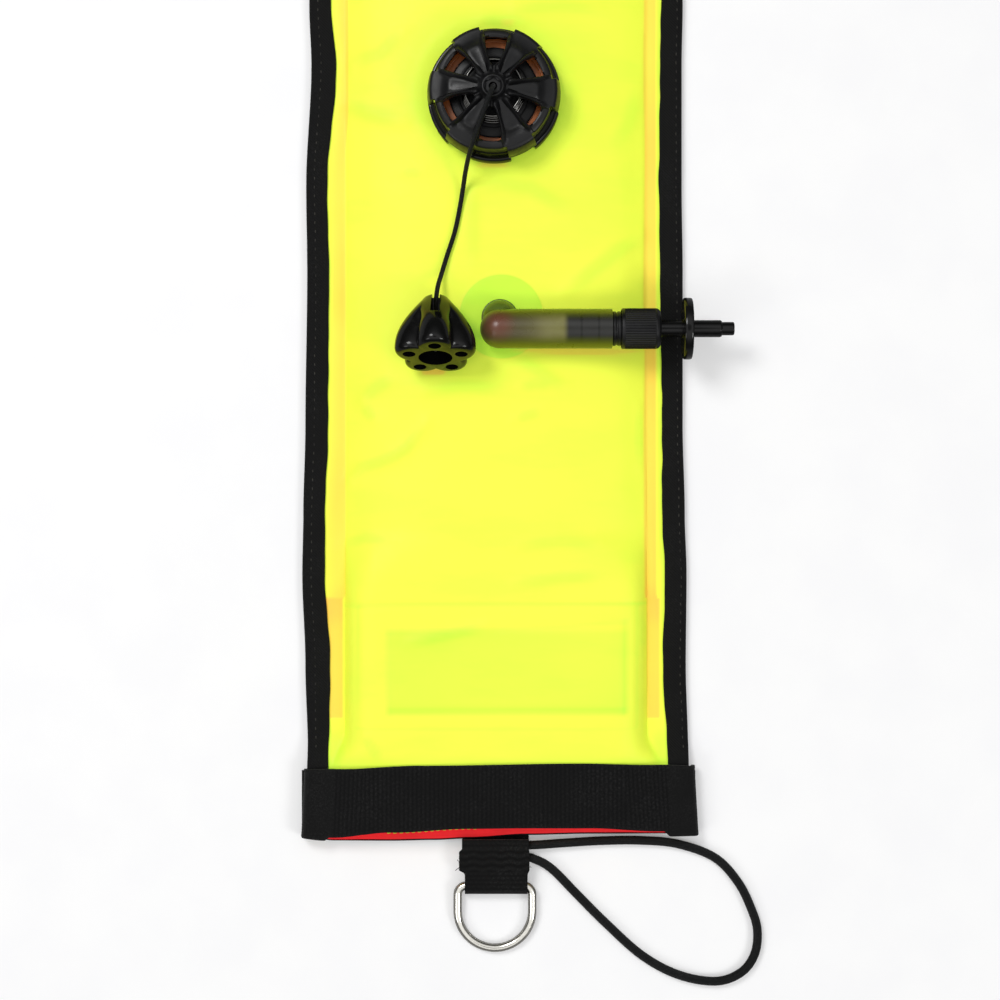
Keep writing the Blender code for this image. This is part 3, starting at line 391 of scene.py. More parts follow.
def combined(mesh, others, operation):
    """The mesh with others added to it or cut out of it."""
    owner = placed("owner", mesh)
    tools = [placed("tool", other) for other in others]
    for tool in tools:
        change = owner.modifiers.new("change", "BOOLEAN")
        change.operation = operation
        change.solver = "EXACT"
        change.object = tool
    view = bpy.context.evaluated_depsgraph_get()
    made = bpy.data.meshes.new_from_object(owner.evaluated_get(view))
    for obj in [owner] + tools:
        bpy.data.objects.remove(obj)
    return mended(made, weld=2e-6, sliver=1e-6)


def coil_mesh(place, low, high, wide, narrow, turns, wire):
    """A compression spring along Z whose last half turn lies flat at each end."""
    route = []
    count = turns * 40
    for k in range(count + 1):
        part = k / count
        rise = min(max((part * turns - 0.5) / (turns - 1), 0.0), 1.0)
        height = low + wire / 2 + (high - low - wire) * rise
        point = polar(wide + (narrow - wide) * part, 2 * math.pi * turns * part, height)
        route.append(place @ (point / 1000))
    return tube_mesh(route, wire / 2000, 12)


# Materials.


class Nodes:
    """A node tree, with short calls that add nodes and give their outputs."""

    def __init__(self, tree):
        self.tree = tree

    def give(self, socket, value):
        """Links an output to a socket, or sets the socket's own value."""
        if isinstance(value, bpy.types.NodeSocket):
            self.tree.links.new(value, socket)
        elif socket.type == "RGBA":
            socket.default_value = (*value, 1.0)
        else:
            socket.default_value = value

    def node(self, kind, inputs=(), **settings):
        made = self.tree.nodes.new("ShaderNode" + kind)
        for key, value in settings.items():
            setattr(made, key, value)
        for key, value in dict(inputs).items():
            self.give(made.inputs[key], value)
        return made.outputs

    def calc(self, operation, first, second=0.0):
        return self.node("Math", {0: first, 1: second}, operation=operation)[0]

    def ramp(self, value, low, high, start=0.0, end=1.0):
        """Smooth change from start to end as a value goes from low to high."""
        inputs = {"Value": value, "From Min": low, "From Max": high, "To Min": start, "To Max": end}
        return self.node("MapRange", inputs, interpolation_type="SMOOTHSTEP")["Result"]

    def off(self, value, centre, *limits):
        """The ramp over a value's distance from a centre."""
        return self.ramp(self.calc("ABSOLUTE", self.calc("SUBTRACT", value, centre)), *limits)

    def mix(self, share, first, second):
        return self.node("Mix", {0: share, 6: first, 7: second}, data_type="RGBA")[2]


class Look(Nodes):
    """A Principled material in the making, with patterns fixed to the object."""

    def __init__(self, name, color, roughness, **sockets):
        self.material = bpy.data.materials.new(name)
        self.material.use_nodes = True
        self.material.diffuse_color = (*color, 1.0)
        super().__init__(self.material.node_tree)
        self.shader = self.tree.nodes["Principled BSDF"]
        self.set(Base_Color=color, Roughness=roughness, **sockets)
        self.place = self.node("TexCoord")["Object"]

    def set(self, **sockets):
        """Values or outputs for the shader's sockets, named with underscores for spaces."""
        for key, value in sockets.items():
            self.give(self.shader.inputs[key.replace("_", " ")], value)

    def noise(self, scale, detail=3.0, roughness=0.5, stretch=None):
        place = self.place
        if stretch is not None:
            place = self.node("Mapping", {"Vector": place, "Scale": stretch})["Vector"]
        inputs = {"Vector": place, "Scale": scale, "Detail": detail, "Roughness": roughness}
        return self.node("TexNoise", inputs)["Fac"]

    def axes(self):
        return self.node("SeparateXYZ", {"Vector": self.place})

    def away(self, point):
        return self.node("VectorMath", {0: self.place, 1: point}, operation="DISTANCE")["Value"]

    def layer(self, name):
        """Red, green and blue of a colour layer."""
        return self.node("SeparateColor", {"Color": self.node("VertexColor", layer_name=name)["Color"]})

    def rib(self, value, period):
        return self.calc("SINE", self.calc("MULTIPLY", value, 2 * math.pi / period))

    def weave(self, period):
        """Plain weave: threads along X and Y that pass over each other."""
        axes = self.axes()
        return self.calc("MULTIPLY", self.rib(axes["X"], period), self.rib(axes["Y"], period))

    def bumps(self, *heights):
        """Adds bumps of (height, strength, depth in metres) one on another."""
        below = {}
        for height, strength, depth in heights:
            inputs = {"Height": height, "Strength": strength, "Distance": depth, **below}
            below = {"Normal": self.node("Bump", inputs)["Normal"]}
        self.set(**below)


# Where the welded flange behind the inflator shines through the front.
FLANGE_SHINE = (*photo_point(501.5, 316.5), PANEL_Z + FABRIC)
FLANGE_EDGE = 0.0159
YELLOW = (0.98, 0.95, 0.066)
LIME = (0.62, 0.93, 0.045)
ORANGE = (0.97, 0.60, 0.085)
SHADE = (0.50, 0.52, 0.022)
# Painted light: the yellow fabric glows a little in the yellow-green of its fluorescence, which lifts its
# shade, and in orange over its orange strips and painted contact shade.
PAINTED_FLUORESCENT_GLOW = (0.25, 1.0, 0.06)
PAINTED_ORANGE_GLOW = (1.0, 0.42, 0.02)
# Painted shade between the ribs of the webbing.
GROOVE_SHADE = (0.0012, 0.0012, 0.0014)
SMOKE = (0.105, 0.09, 0.035)
# Painted shade: the darker olive of the hose's sides, where its wall is seen edge-on.
HOSE_EDGE_SHADE = (0.15, 0.175, 0.006)
# The insert's two dark rings along X, and the middle of the glow in the hose's bend.
INSERT_RINGS = (0.0320, 0.0385)
BALL = (0.0010, 0.1800, 0.0245)
BALL_GLOW = (0.17, 0.055, 0.030)


def front_fabric(name):
    look = Look(name, YELLOW, 0.5, Specular_IOR_Level=0.25, Emission_Strength=0.17)
    tones = look.layer("tone")
    mottle = look.ramp(look.noise(1.0, 4.0, stretch=(16.0, 60.0, 20.0)), 0.42, 0.70, 0.0, 0.17)
    away = look.away(FLANGE_SHINE)
    weld = look.ramp(away, FLANGE_EDGE - 0.0003, FLANGE_EDGE + 0.0002, 0.78, 0.0)
    edge = look.off(away, FLANGE_EDGE, 0.0001, 0.0006, 0.16, 0.0)
    # Painted shade: the lime share along folds and welds, the orange share at contacts, and the shade share
    # and the flange's edge line.
    lime = look.calc("ADD", look.calc("MAXIMUM", tones["Green"], weld), mottle)
    color = look.mix(tones["Red"], look.mix(lime, YELLOW, LIME), ORANGE)
    color = look.mix(look.calc("ADD", tones["Blue"], edge), color, SHADE)
    # Painted glow: yellow-green, and orange where the orange share is.
    glow = look.mix(tones["Red"], PAINTED_FLUORESCENT_GLOW, PAINTED_ORANGE_GLOW)
    grain = look.noise(900.0, 2.0)
    look.set(Base_Color=color, Emission_Color=glow, Roughness=look.ramp(grain, 0.2, 0.8, 0.44, 0.56))
    ripple = look.noise(70.0, 2.0)
    look.bumps((ripple, 0.35, 0.0012), (look.weave(0.00042), 0.12, 0.00005), (grain, 0.1, 0.0001))
    return look.material


def plain_cloth(name, color, darker, roughness, period, glow=None):
    look = Look(name, color, roughness, Specular_IOR_Level=0.3)
    # A glow is painted light that lifts the cloth where it lies in shade.
    if glow is not None:
        look.set(Emission_Color=glow, Emission_Strength=0.2)
    wear = look.noise(60.0, 5.0, 0.6)
    rough = look.ramp(look.noise(1200.0, 2.0), 0.2, 0.8, roughness - 0.06, roughness + 0.06)
    look.set(Base_Color=look.mix(look.ramp(wear, 0.35, 0.7), color, darker), Roughness=rough)
    look.bumps((wear, 0.25, 0.0004), (look.weave(period), 0.3, 0.0001))
    return look.material


def twill_cloth(name, color, lighter, roughness, period):
    """Narrow woven tape: slanting ribs with loose fibres, and painted shade in its grooves where a mesh marks
    them.
    """
    look = Look(name, color, roughness, Specular_IOR_Level=0.12, Sheen_Weight=0.08, Sheen_Roughness=0.4)
    axes = look.axes()
    rib = look.rib(look.calc("ADD", axes["X"], axes["Y"]), period)
    fibre = look.noise(1500.0, 3.0, 0.7)
    fade = look.noise(55.0, 3.0, 0.6)
    share = look.calc("MULTIPLY", look.ramp(fibre, 0.4, 0.75), look.ramp(fade, 0.3, 0.75))
    threads = look.mix(look.layer("groove_shade")["Red"], look.mix(share, color, lighter), GROOVE_SHADE)
    look.set(Base_Color=threads, Roughness=look.ramp(fade, 0.2, 0.8, roughness - 0.08, roughness + 0.05))
    look.bumps((rib, 0.5, 0.00012), (fibre, 0.4, 0.00015))
    return look.material


def moulded(name, color, roughness, grain_scale, grain_depth, specular=0.5, dust=(0.03, 0.03, 0.032)):
    """Moulded plastic or rubber: fine grain, with a little dust and wear in its roughness."""
    look = Look(name, color, roughness, Specular_IOR_Level=specular)
    patches = look.noise(90.0, 5.0, 0.65)
    rough = look.ramp(patches, 0.3, 0.75, roughness * 0.8, min(1.0, roughness * 1.5))
    look.set(Base_Color=look.mix(look.ramp(patches, 0.52, 0.78, 0.0, 0.35), color, dust), Roughness=rough)
    look.bumps((look.noise(grain_scale, 4.0, 0.6), 0.3, grain_depth))
    return look.material


def polished_steel(name, color, roughness):
    look = Look(name, color, roughness, Metallic=1.0, Specular_Tint=(0.25, 0.25, 0.23))
    scratches = look.noise(3.0, 5.0, 0.7, stretch=(900.0, 90.0, 900.0))
    darker = tuple(channel * 0.86 for channel in color)
    rough = look.ramp(look.noise(160.0, 3.0), 0.3, 0.75, roughness * 0.7, roughness * 1.9)
    look.set(Base_Color=look.mix(look.ramp(scratches, 0.35, 0.7), darker, color), Roughness=rough)
    look.bumps((scratches, 0.2, 0.00002))
    return look.material


def smoky_hose(name):
    """Cloudy hose: its sides painted darker olive and its upper side greener as painted shade of its wall
    seen edge-on, a painted brown glow in its bend, and the black insert showing in its end.
    """
    look = Look(name, (0.21, 0.19, 0.08), 0.3, IOR=1.42, Transmission_Weight=0.22, Specular_IOR_Level=0.5)
    axes = look.axes()
    along = axes["X"]
    cloud = look.noise(90.0, 3.0, 0.55)
    pale = look.mix(look.ramp(cloud, 0.3, 0.75), (0.20, 0.19, 0.052), (0.27, 0.255, 0.085))
    smoke = look.mix(look.ramp(along, 0.006, 0.025), SMOKE, pale)
    smoke = look.mix(look.ramp(along, INSERT_X - 0.002, INSERT_X + 0.0008), smoke, (0.022, 0.022, 0.019))
    for ring in INSERT_RINGS:
        smoke = look.mix(look.off(along, ring, 0.0002, 0.0007, 1.0, 0.0), smoke, (0.008, 0.008, 0.006))
    # Painted shade along both sides of the hose, greener along its upper side.
    smoke = look.mix(look.off(axes["Y"], HOSE_Y, 0.0026, 0.0068), smoke, HOSE_EDGE_SHADE)
    ball = look.ramp(look.away(BALL), 0.0012, 0.0084, 1.0, 0.0)
    smoke = look.mix(ball, smoke, BALL_GLOW)
    smoke = look.mix(look.ramp(axes["Y"], HOSE_Y + 0.0058, HOSE_Y + 0.0078), smoke, (0.12, 0.19, 0.016))
    look.set(Base_Color=smoke, Roughness=look.ramp(cloud, 0.3, 0.8, 0.26, 0.36))
    look.bumps((look.noise(300.0, 2.0), 0.08, 0.00005))
    return look.material


# Each finish: its function, its colours, its roughness, and the size and depth of its pattern.
FINISHES = {
    "fluorescent_fabric": (front_fabric,),
    # The red fabric's glow is painted light that lifts it in the band's shade.
    "red_fabric": (plain_cloth, (0.80, 0.008, 0.016), (0.66, 0.006, 0.012), 0.5, 0.00042, (1.0, 0.01, 0.02)),
    "inner_fabric": (plain_cloth, (0.74, 0.78, 0.22), (0.62, 0.68, 0.18), 0.6, 0.0005),
    "grey_thread": (plain_cloth, (0.045, 0.042, 0.036), (0.012, 0.011, 0.010), 0.6, 0.0003),
    "lime_thread": (plain_cloth, (0.60, 0.85, 0.05), (0.42, 0.60, 0.03), 0.55, 0.0003),
    "edging_tape": (twill_cloth, (0.0045, 0.0045, 0.0045), (0.018, 0.018, 0.018), 0.8, 0.0011),
    "webbing": (twill_cloth, (0.0055, 0.0055, 0.0055), (0.026, 0.026, 0.026), 0.75, 0.00055),
    "elastic_cord": (twill_cloth, (0.006, 0.0065, 0.0065), (0.02, 0.02, 0.021), 0.5, 0.0005),
    "ballast_steel": (polished_steel, (0.42, 0.42, 0.43), 0.38),
    "stainless_steel": (polished_steel, (0.78, 0.76, 0.70), 0.16),
    # A darker copy of the stainless steel: painted shade for the valve's spring, which sits inside the valve.
    "shaded_spring_steel": (polished_steel, (0.15, 0.147, 0.14), 0.12),
    "valve_black": (moulded, (0.0055, 0.0055, 0.006), 0.34, 1400.0, 0.00003, 0.25),
    "gloss_black": (moulded, (0.003, 0.003, 0.003), 0.13, 500.0, 0.00001, 0.24),
    "black_rubber": (moulded, (0.012, 0.012, 0.012), 0.6, 1600.0, 0.00004),
    "amber_silicone": (moulded, (0.52, 0.135, 0.020), 0.38, 800.0, 0.00003, 0.5, (0.35, 0.10, 0.022)),
    "clear_flange": (moulded, (0.32, 0.55, 0.09), 0.3, 700.0, 0.00003, 0.5, (0.4, 0.6, 0.15)),
    "smoky_hose": (smoky_hose,),
}
MATERIALS = {slot: make(slot + "_dressed", *values) for slot, (make, *values) in FINISHES.items()}


def dress_nodes():
    """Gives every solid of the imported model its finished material."""
    for part in frame["record"]["subparts"]:
        obj = bpy.data.objects.get(part["node"])
        for place in obj.material_slots if obj else ():
            place.material = MATERIALS[part["material_slot"]]


# Camera, light and floor.

WHITE = (1.0, 1.0, 1.0)
BLACK = (0.0, 0.0, 0.0)
FLOOR_HALF = 4.0
FLOOR_Z = -0.0002
# Each lamp: its name, place, size and power.
LAMPS = (
    ("key", (-0.55, 0.70, 1.15), 0.50, 7.8),
    ("fill", (0.85, -0.40, 0.95), 0.45, 3.8),
    ("side", (-0.85, -0.45, 0.90), 0.45, 1.8),
)
LAMP_TARGET = Vector((0.0, 0.15, 0.0))


def build_camera():
    camera = bpy.data.cameras.new("view")
    camera.sensor_width = SENSOR
    camera.lens = SENSOR * CAMERA[2] / VIEW_WIDTH
    camera.clip_end = 100.0
    eye = placed("view", camera)
    eye.location = CAMERA
    bpy.context.scene.camera = eye


def build_floor():
    """White paper, which camera rays see brighter and glossy rays darker than it is."""
    corners = [(x * FLOOR_HALF, y * FLOOR_HALF, FLOOR_Z) for x, y in ((-1, -1), (1, -1), (1, 1), (-1, 1))]
    look = Look("floor_paper", (0.86, 0.86, 0.86), 0.8, Specular_IOR_Level=0.1)
    paper = look.ramp(look.noise(30.0, 3.0), 0.3, 0.7)
    look.set(Base_Color=look.mix(paper, (0.94, 0.94, 0.95), (0.97, 0.97, 0.97)))
    look.bumps((look.noise(400.0, 2.0), 0.05, 0.0001))
    rays = look.node("LightPath")
    seen = look.calc("MAXIMUM", rays["Is Camera Ray"], rays["Is Transmission Ray"])
    blend = look.shader.outputs["BSDF"]
    for ray, share, color, strength in ((seen, 0.22, WHITE, 1.1), (rays["Is Glossy Ray"], 0.6, BLACK, 0.0)):
        share = look.calc("MULTIPLY", ray, share)
        glow = look.node("Emission", {"Color": color, "Strength": strength})["Emission"]
        blend = look.node("MixShader", {0: share, 1: blend, 2: glow})["Shader"]
    look.give(look.tree.nodes["Material Output"].inputs["Surface"], blend)
    mesh = mesh_from(corners, [(0, 1, 2, 3)], outward=False)
    mesh.materials.append(look.material)
    placed("floor", mesh)


def build_room():
    """A soft room: bright overhead, with a band that only glossy rays see, and white to the camera."""
    world = bpy.data.worlds.new("soft_room")
    bpy.context.scene.world = world
    world.use_nodes = True
    room = Nodes(world.node_tree)
    up = room.node("SeparateXYZ", {"Vector": room.node("TexCoord")["Generated"]})["Z"]
    rays = room.node("LightPath")
    band = room.calc("SUBTRACT", room.ramp(up, 0.55, 0.90, 0.0, 0.6), room.ramp(up, 0.965, 0.99, 0.0, 1.1))
    gloss = room.calc("ADD", 1.0, room.calc("MULTIPLY", band, rays["Is Glossy Ray"]))
    level = room.calc("MULTIPLY", room.ramp(up, 0.30, 0.95, 0.10, 0.74), gloss)
    back = room.tree.nodes["Background"]
    room.give(back.inputs["Color"], WHITE)
    room.give(back.inputs["Strength"], room.calc("MAXIMUM", level, rays["Is Camera Ray"]))
    for name, place, size, energy in LAMPS:
        light = bpy.data.lights.new(name, "AREA")
        light.shape = "DISK"
        light.size = size
        light.energy = energy
        lamp = placed(name, light)
        lamp.location = place
        lamp.rotation_euler = (LAMP_TARGET - Vector(place)).to_track_quat("-Z", "Y").to_euler()
    bpy.context.scene.view_settings.view_transform = "Standard"


# Cords. The elastic loop goes over the tab, round its loop on the floor and back.

# Heights of its middle line over the tab and on the floor.
OVER = WEBBING + GAP + BUNGEE / 2
FLAT = BUNGEE / 2 + GAP / 2
BUNGEE_STOPS = (
    (-0.0090, -0.0180, OVER), (0.0123, -0.0180, OVER), (0.0258, -0.0173, FLAT + 0.0006),
    (0.0410, -0.0165, FLAT), (0.0560, -0.0164, FLAT), (0.0700, -0.0178, FLAT), (0.0840, -0.0230, FLAT),
    (0.0928, -0.0322, FLAT), (0.0980, -0.0425, FLAT), (0.1004, -0.0510, FLAT), (0.0993, -0.0602, FLAT),
    (0.0940, -0.0672, FLAT), (0.0843, -0.0705, FLAT), (0.0700, -0.0680, FLAT), (0.0560, -0.0605, FLAT),
    (0.0420, -0.0480, FLAT), (0.0310, -0.0370, FLAT), (0.0215, -0.0273, FLAT + 0.0006),
    (0.0150, -0.0235, OVER - 0.0003), (0.0100, -0.0226, OVER), (-0.0090, -0.0226, OVER),
)
# The pull cord from the valve's post over its cap and down to the knob, with heights above the front.
POST_TOP = 0.0246
OVER_CAP = (
    (-0.0009, 0.2678, 0.0201), (-0.0014, 0.2664, 0.0229), (-0.0022, 0.2643, 0.0236),
    (-0.0037, 0.2603, 0.0227), (-0.0054, 0.2557, 0.0215), (-0.0072, 0.2509, 0.0197),
    (-0.0087, 0.2469, 0.0177), (-0.0100, 0.2431, 0.0148), (-0.0109, 0.2399, 0.0110),
    (-0.0117, 0.2365, 0.0066), (-0.0125, 0.2320, 0.0027), (-0.0137, 0.2250, 0.0014),
    (-0.0156, 0.2160, 0.0013), (-0.0185, 0.2070, 0.0014), (-0.0206, 0.2000, 0.0024),
)
# The knob's nose in the model and, a little to one side, in the scene. It points against OUTWARD.
APEX = Vector((-0.0219, 0.1911, 0.0186))
NOSE = APEX + Vector((-0.0006, 0.0, 0.0))
OUTWARD = Vector((0.0, -0.9336, 0.3584))


def dump_cord_stops():
    stops = [(*VALVE, POST_TOP), (*VALVE, POST_TOP + 0.0035)]
    stops += [(x, y, PANEL_Z + height) for x, y, height in OVER_CAP]
    stops += [tuple(APEX - OUTWARD * 0.0040)]
    return stops + [tuple(NOSE + OUTWARD * along) for along in (0.0015, 0.0060, 0.0120, 0.0172)]


def braid(strands, pitch, depth):
    """Height of a braided cover: strands wound both ways over and under each other."""

    def height(length, angle):
        turn = 2 * math.pi * length / pitch
        one = math.cos(strands * (angle - turn))
        other = math.cos(strands * (angle + turn))
        return depth * (0.5 * (one * other) + 0.25 * max(one, other))

    return height


def braided(stops, spacing, diameter, sunk, count, *pattern):
    """The mesh of a braided cord along its stops, with its route and length."""
    route = smooth_route(stops, spacing)
    length = sum((b - a).length for a, b in zip(route, route[1:]))
    return tube_mesh(route, diameter / 2 - sunk, count, bump=braid(*pattern)), route, length


def build_bungee():
    mesh, route, length = braided(BUNGEE_STOPS, 0.00035, BUNGEE, 0.00002, 28, 6, 0.0150, 0.00007)
    cord = piece("elastic_loop", mesh, "elastic_cord", "bungee_loop")


def build_pull():
    mesh, route, length = braided(dump_cord_stops(), 0.0002, CORD, 0.00001, 20, 4, 0.0080, 0.00004)
    cord = piece("pull_cord", mesh, "elastic_cord", "dump_cord", body="pull")
    knob = piece("pull_knob", knob_mesh(), "gloss_black", "dump_knob", body="pull", sharp=42)
    knot = piece("pull_knot", knot_mesh(), "elastic_cord", "dump_cord_knot", body="pull")


# The bag's fabric.

# Painted contact shade, orange with a painted glow, where fabric lies close to a piece on it: pixel, half
# sizes in millimetres and share.
CONTACT_SHADE = (
    (580, 350.5, 24.0, 1.6, 0.50),
    (433.5, 371.5, 5.0, 1.5, 0.70),
    (493, 164.5, 7.0, 0.9, 0.45),
    (508, 22.5, 3.5, 0.9, 0.30),
)
# The edge tapes' own lines: place along Y, left outer, left inner, right inner and right outer edge.
TAPE_LINES = np.array((
    (-15, -73.4, -64.0, 66.0, 74.2), (17, -72.2, -64.2, 65.7, 73.8), (51, -73.2, -63.6, 64.0, 72.9),
    (86, -74.4, -65.6, 64.8, 73.2), (109, -74.0, -65.6, 63.7, 72.5), (143, -73.2, -64.4, 63.7, 71.7),
    (201, -72.5, -64.0, 62.9, 71.7), (235, -72.9, -64.8, 62.5, 71.3), (281, -70.9, -61.3, 62.9, 71.3),
    (304, -71.7, -63.3, 63.3, 71.7), (420, -73.0, -63.2, 63.2, 73.0), (700, -72.4, -62.8, 62.7, 72.5),
    (960, -73.3, -63.5, 63.4, 73.2), (1186, -73.0, -63.2, 63.2, 73.0),
))
LEFT_OUTER, LEFT_INNER, RIGHT_INNER, RIGHT_OUTER = (TAPE_LINES[:, (0, i)].tolist() for i in range(1, 5))
TUCK = 0.0010
# Folds in the fabric: stops as pixels of the photograph, height and half width in millimetres.
FOLDS = (
    (((348, 480), (362, 467), (378, 462), (395, 455), (407, 447), (416, 436), (426, 424)), 0.75, 2.6),
    (((566, 293), (590, 272), (615, 252), (642, 233)), 0.8, 3.4),
    (((478, 190), (500, 184), (530, 188), (572, 211)), 0.55, 3.0),
    (((515, 356), (540, 372), (566, 388)), 0.6, 2.6),
    (((342, 98), (370, 112), (402, 121)), 0.7, 3.4),
    (((352, 60), (380, 52), (402, 30)), 0.5, 3.2),
    (((425, 391), (460, 386), (505, 389)), 0.55, 2.6),
    (((362, 398), (374, 388), (392, 378)), 0.55, 2.8),
    (((410, 643), (445, 636), (487, 626)), 0.5, 2.2),
    (((520, 545), (560, 541), (602, 544)), 0.4, 2.4),
    (((516, 584), (560, 578), (604, 576)), 0.4, 2.4),
    (((340, 545), (365, 538), (392, 541)), 0.35, 2.2),
    (((470, 172), (472, 220), (474, 268)), 0.25, 3.0),
    (((362, 403), (368, 412), (376, 421)), 0.4, 2.4),
    (((515, 419), (528, 415), (542, 411)), 0.35, 2.2),
    (((520, 387), (535, 384), (552, 385)), 0.35, 2.2),
    (((640, 405), (640.5, 440), (641, 470)), 0.25, 1.6),
    (((643, 612), (644, 632), (644, 652)), 0.25, 1.8),
    (((364, 735), (372, 748), (381, 761)), 0.4, 1.8),
    (((515, 8), (560, 6), (600, 9)), 0.5, 2.4),
    (((480, 21), (500, 22), (525, 21)), 0.3, 2.0),
    (((400, 172), (411, 172), (422, 173)), 0.2, 1.8),
    (((612, 150), (630, 120), (640, 80)), 0.25, 3.4),
)
# Weld lines pressed into the fabric, the same way: those of the pocket, then the two side seams.
WELDS = (
    (((334, 606), (420, 605), (540, 605), (661, 604)), 0.32, 0.75),
    (((357.5, 607), (357, 660), (356, 729)), 0.22, 0.6),
    (((637, 607), (638, 660), (638, 727)), 0.2, 0.6),
    (((356, 729), (440, 729), (540, 728.5), (638, 728)), 0.16, 0.6),
    (((388, 634), (387, 670), (389, 713)), 0.12, 1.3),
    (((625.5, 622), (625, 660), (625.5, 712)), 0.26, 1.1),
    (((390, 711.5), (470, 711), (560, 710.5), (624, 711)), 0.34, 1.3),
    (((388, 632), (440, 632), (540, 628), (627, 622)), 0.14, 0.9),
    (((646.5, 30), (646, 250), (647, 400), (650, 560), (649, 700)), 0.16, 0.45),
    (((344.5, 30), (345, 250), (345, 400), (343.5, 560), (344, 722)), 0.12, 0.45),
)
POCKET_WELDS = 8
# The soft sheets inside the bag: piece, node and how far it bows up.
INSIDE = (("flap_fabric", "mouth_flap", 0.0007), ("pocket_fabric", "ballast_pocket", 0.0))
# Where the hose and the knob lie on the front: x and y, from and to.
COVERED = ((-0.008, 0.064, 0.166, 0.192), (-0.040, -0.004, 0.160, 0.196))
# Pixels of the photograph: the ballast plate under the fabric and its greener shine, and for the orange
# strips the row where they end, the row below which they are strong, and their inner and outer columns.
PLATE = (388, 712, 626, 630)
PLATE_SHINE = (388, 714, 627, 631)
STRIP_END = 722
STRIP_STRONG = 596
LEFT_STRIP = 344
RIGHT_STRIP = (645.5, 658.5)
# Radii of the ring that the valve's flange raises and of the disc that the inflator's raises.
VALVE_RING = (0.0262, 0.0318)
LEG_DISC = 0.0152
# Where the pull cord lies, in pixels.
CORD_LINE = ((478, 130), (466, 175), (459, 215), (450, 250), (440, 290))


def panel_x(x, y):
    """Where the panel's edge meets the tape, the fabric follows the tape's own line."""
    left = through(LEFT_OUTER, y) + TUCK
    right = through(RIGHT_OUTER, y) - TUCK
    outward = smooth_step((np.abs(x) - SEAM_X) / (PANEL_HALF - SEAM_X))
    return x + (np.where(x < 0, left, right) - np.sign(x) * PANEL_HALF) * outward


def around_line(distance, width):
    return np.exp(-((distance / width) ** 2))


def beside(x, y, stops, width, away=0.0):
    """1 on a line through pixels of the photograph, or at a distance away from it, falling over a width."""
    line = [photo_point(px, py) for px, py in stops]
    nearest = np.full(np.shape(x), 1.0)
    for (ax, ay), (bx, by) in zip(line, line[1:]):
        dx, dy = bx - ax, by - ay
        share = np.clip(((x - ax) * dx + (y - ay) * dy) / (dx * dx + dy * dy), 0.0, 1.0)
        nearest = np.minimum(nearest, np.hypot(x - ax - share * dx, y - ay - share * dy))
    return around_line(nearest - away, width)


def from_centre(x, y, centre):
    return np.hypot(x - centre[0], y - centre[1])


def round_mask(x, y, centre, radius, soft):
    return 1.0 - smooth_step((from_centre(x, y, centre) - radius + soft) / (2 * soft))


def calm(x, y):
    """Nearly 0 where a hard piece lies on the fabric, which is pressed flat there."""
    covered = round_mask(x, y, VALVE, 0.0275, 0.003)
    for left, right, low, high in COVERED:
        covered = covered + window(x, left, right, 0.003) * window(y, low, high, 0.003)
    covered = covered + beside(x, y, CORD_LINE, 0.0025) * 0.8
    return 1.0 - np.clip(covered, 0.0, 1.0) * 0.85


def fabric_relief(x, y):
    """Folds, welds and the raised place of the ballast plate, above the even level."""
    height = 0.0
    for stops, rise, width in FOLDS:
        height = height + rise / 1000 * beside(x, y, stops, width / 1000)
    inside = smooth_step((0.0545 - np.abs(x)) / 0.008)
    soft = waves(x, y, 0.075, 3) * 0.00032 + waves(x, y, 0.030, 8) * 0.00013
    height = (height + (soft + 0.00025) * inside) * calm(x, y)
    for stops, depth, width in WELDS:
        height = height - depth / 1000 * beside(x, y, stops, width / 1000)
    height = height + 0.00035 * photo_window(x, y, *PLATE, 0.0012)
    height = height + 0.00022 * window(from_centre(x, y, VALVE), *VALVE_RING, 0.0009)
    height = height + 0.00020 * (1.0 - smooth_step((from_centre(x, y, LEG) - LEG_DISC) / 0.0012))
    far = smooth_step((y - 0.33) / 0.05)
    long_folds = np.abs(waves(x * 2.2, y * 0.5, 0.16, 21)) ** 2 * 0.0011
    return height + far * long_folds * inside * top_closing(y)


def orange_and_contact_shade(x, y, ripple):
    """The strips of back fabric that shine through along both seams, and the painted orange contact shade at
    pieces on the front.
    """
    low_part = smooth_step((photo_point(0, STRIP_STRONG)[1] - y) / 0.0016)
    left = through(LEFT_INNER, y) + 0.0003 + 0.0008 - 0.0012 * low_part + 0.0002 * ripple
    left_end = photo_point(LEFT_STRIP, 0)[0] - 0.0010 * low_part + 0.0012 * smooth_step((y - 0.245) / 0.02)
    right = photo_point(RIGHT_STRIP[0], 0)[0] + 0.0003 * ripple + 0.0010 * low_part
    right_end = photo_point(RIGHT_STRIP[1], 0)[0] + 0.0012 * low_part
    inner = 0.46 + 0.24 * smooth_step((x - left) / 0.004)
    strips = window(x, left, left_end, 0.0006) * np.maximum(inner, 0.95 * low_part)
    strips = strips + window(x, right, right_end, 0.0005) * 0.80
    start = smooth_step((y - photo_point(0, STRIP_END)[1]) / 0.0012)
    strong = 1.0 + 0.25 * window(y, 0.068, 0.080, 0.004)
    orange = strips * start * strong * (0.85 + 0.15 * ripple)
    # Painted orange contact shade, which also glows, round each piece that lies on the front.
    for px, py, wide, high, share in CONTACT_SHADE:
        centre = photo_point(px, py)
        away = np.hypot((x - centre[0]) / wide, (y - centre[1]) / high) * 1000
        orange = np.maximum(orange, share * (1.0 - smooth_step((away - 0.75) / 0.5)))
    return orange


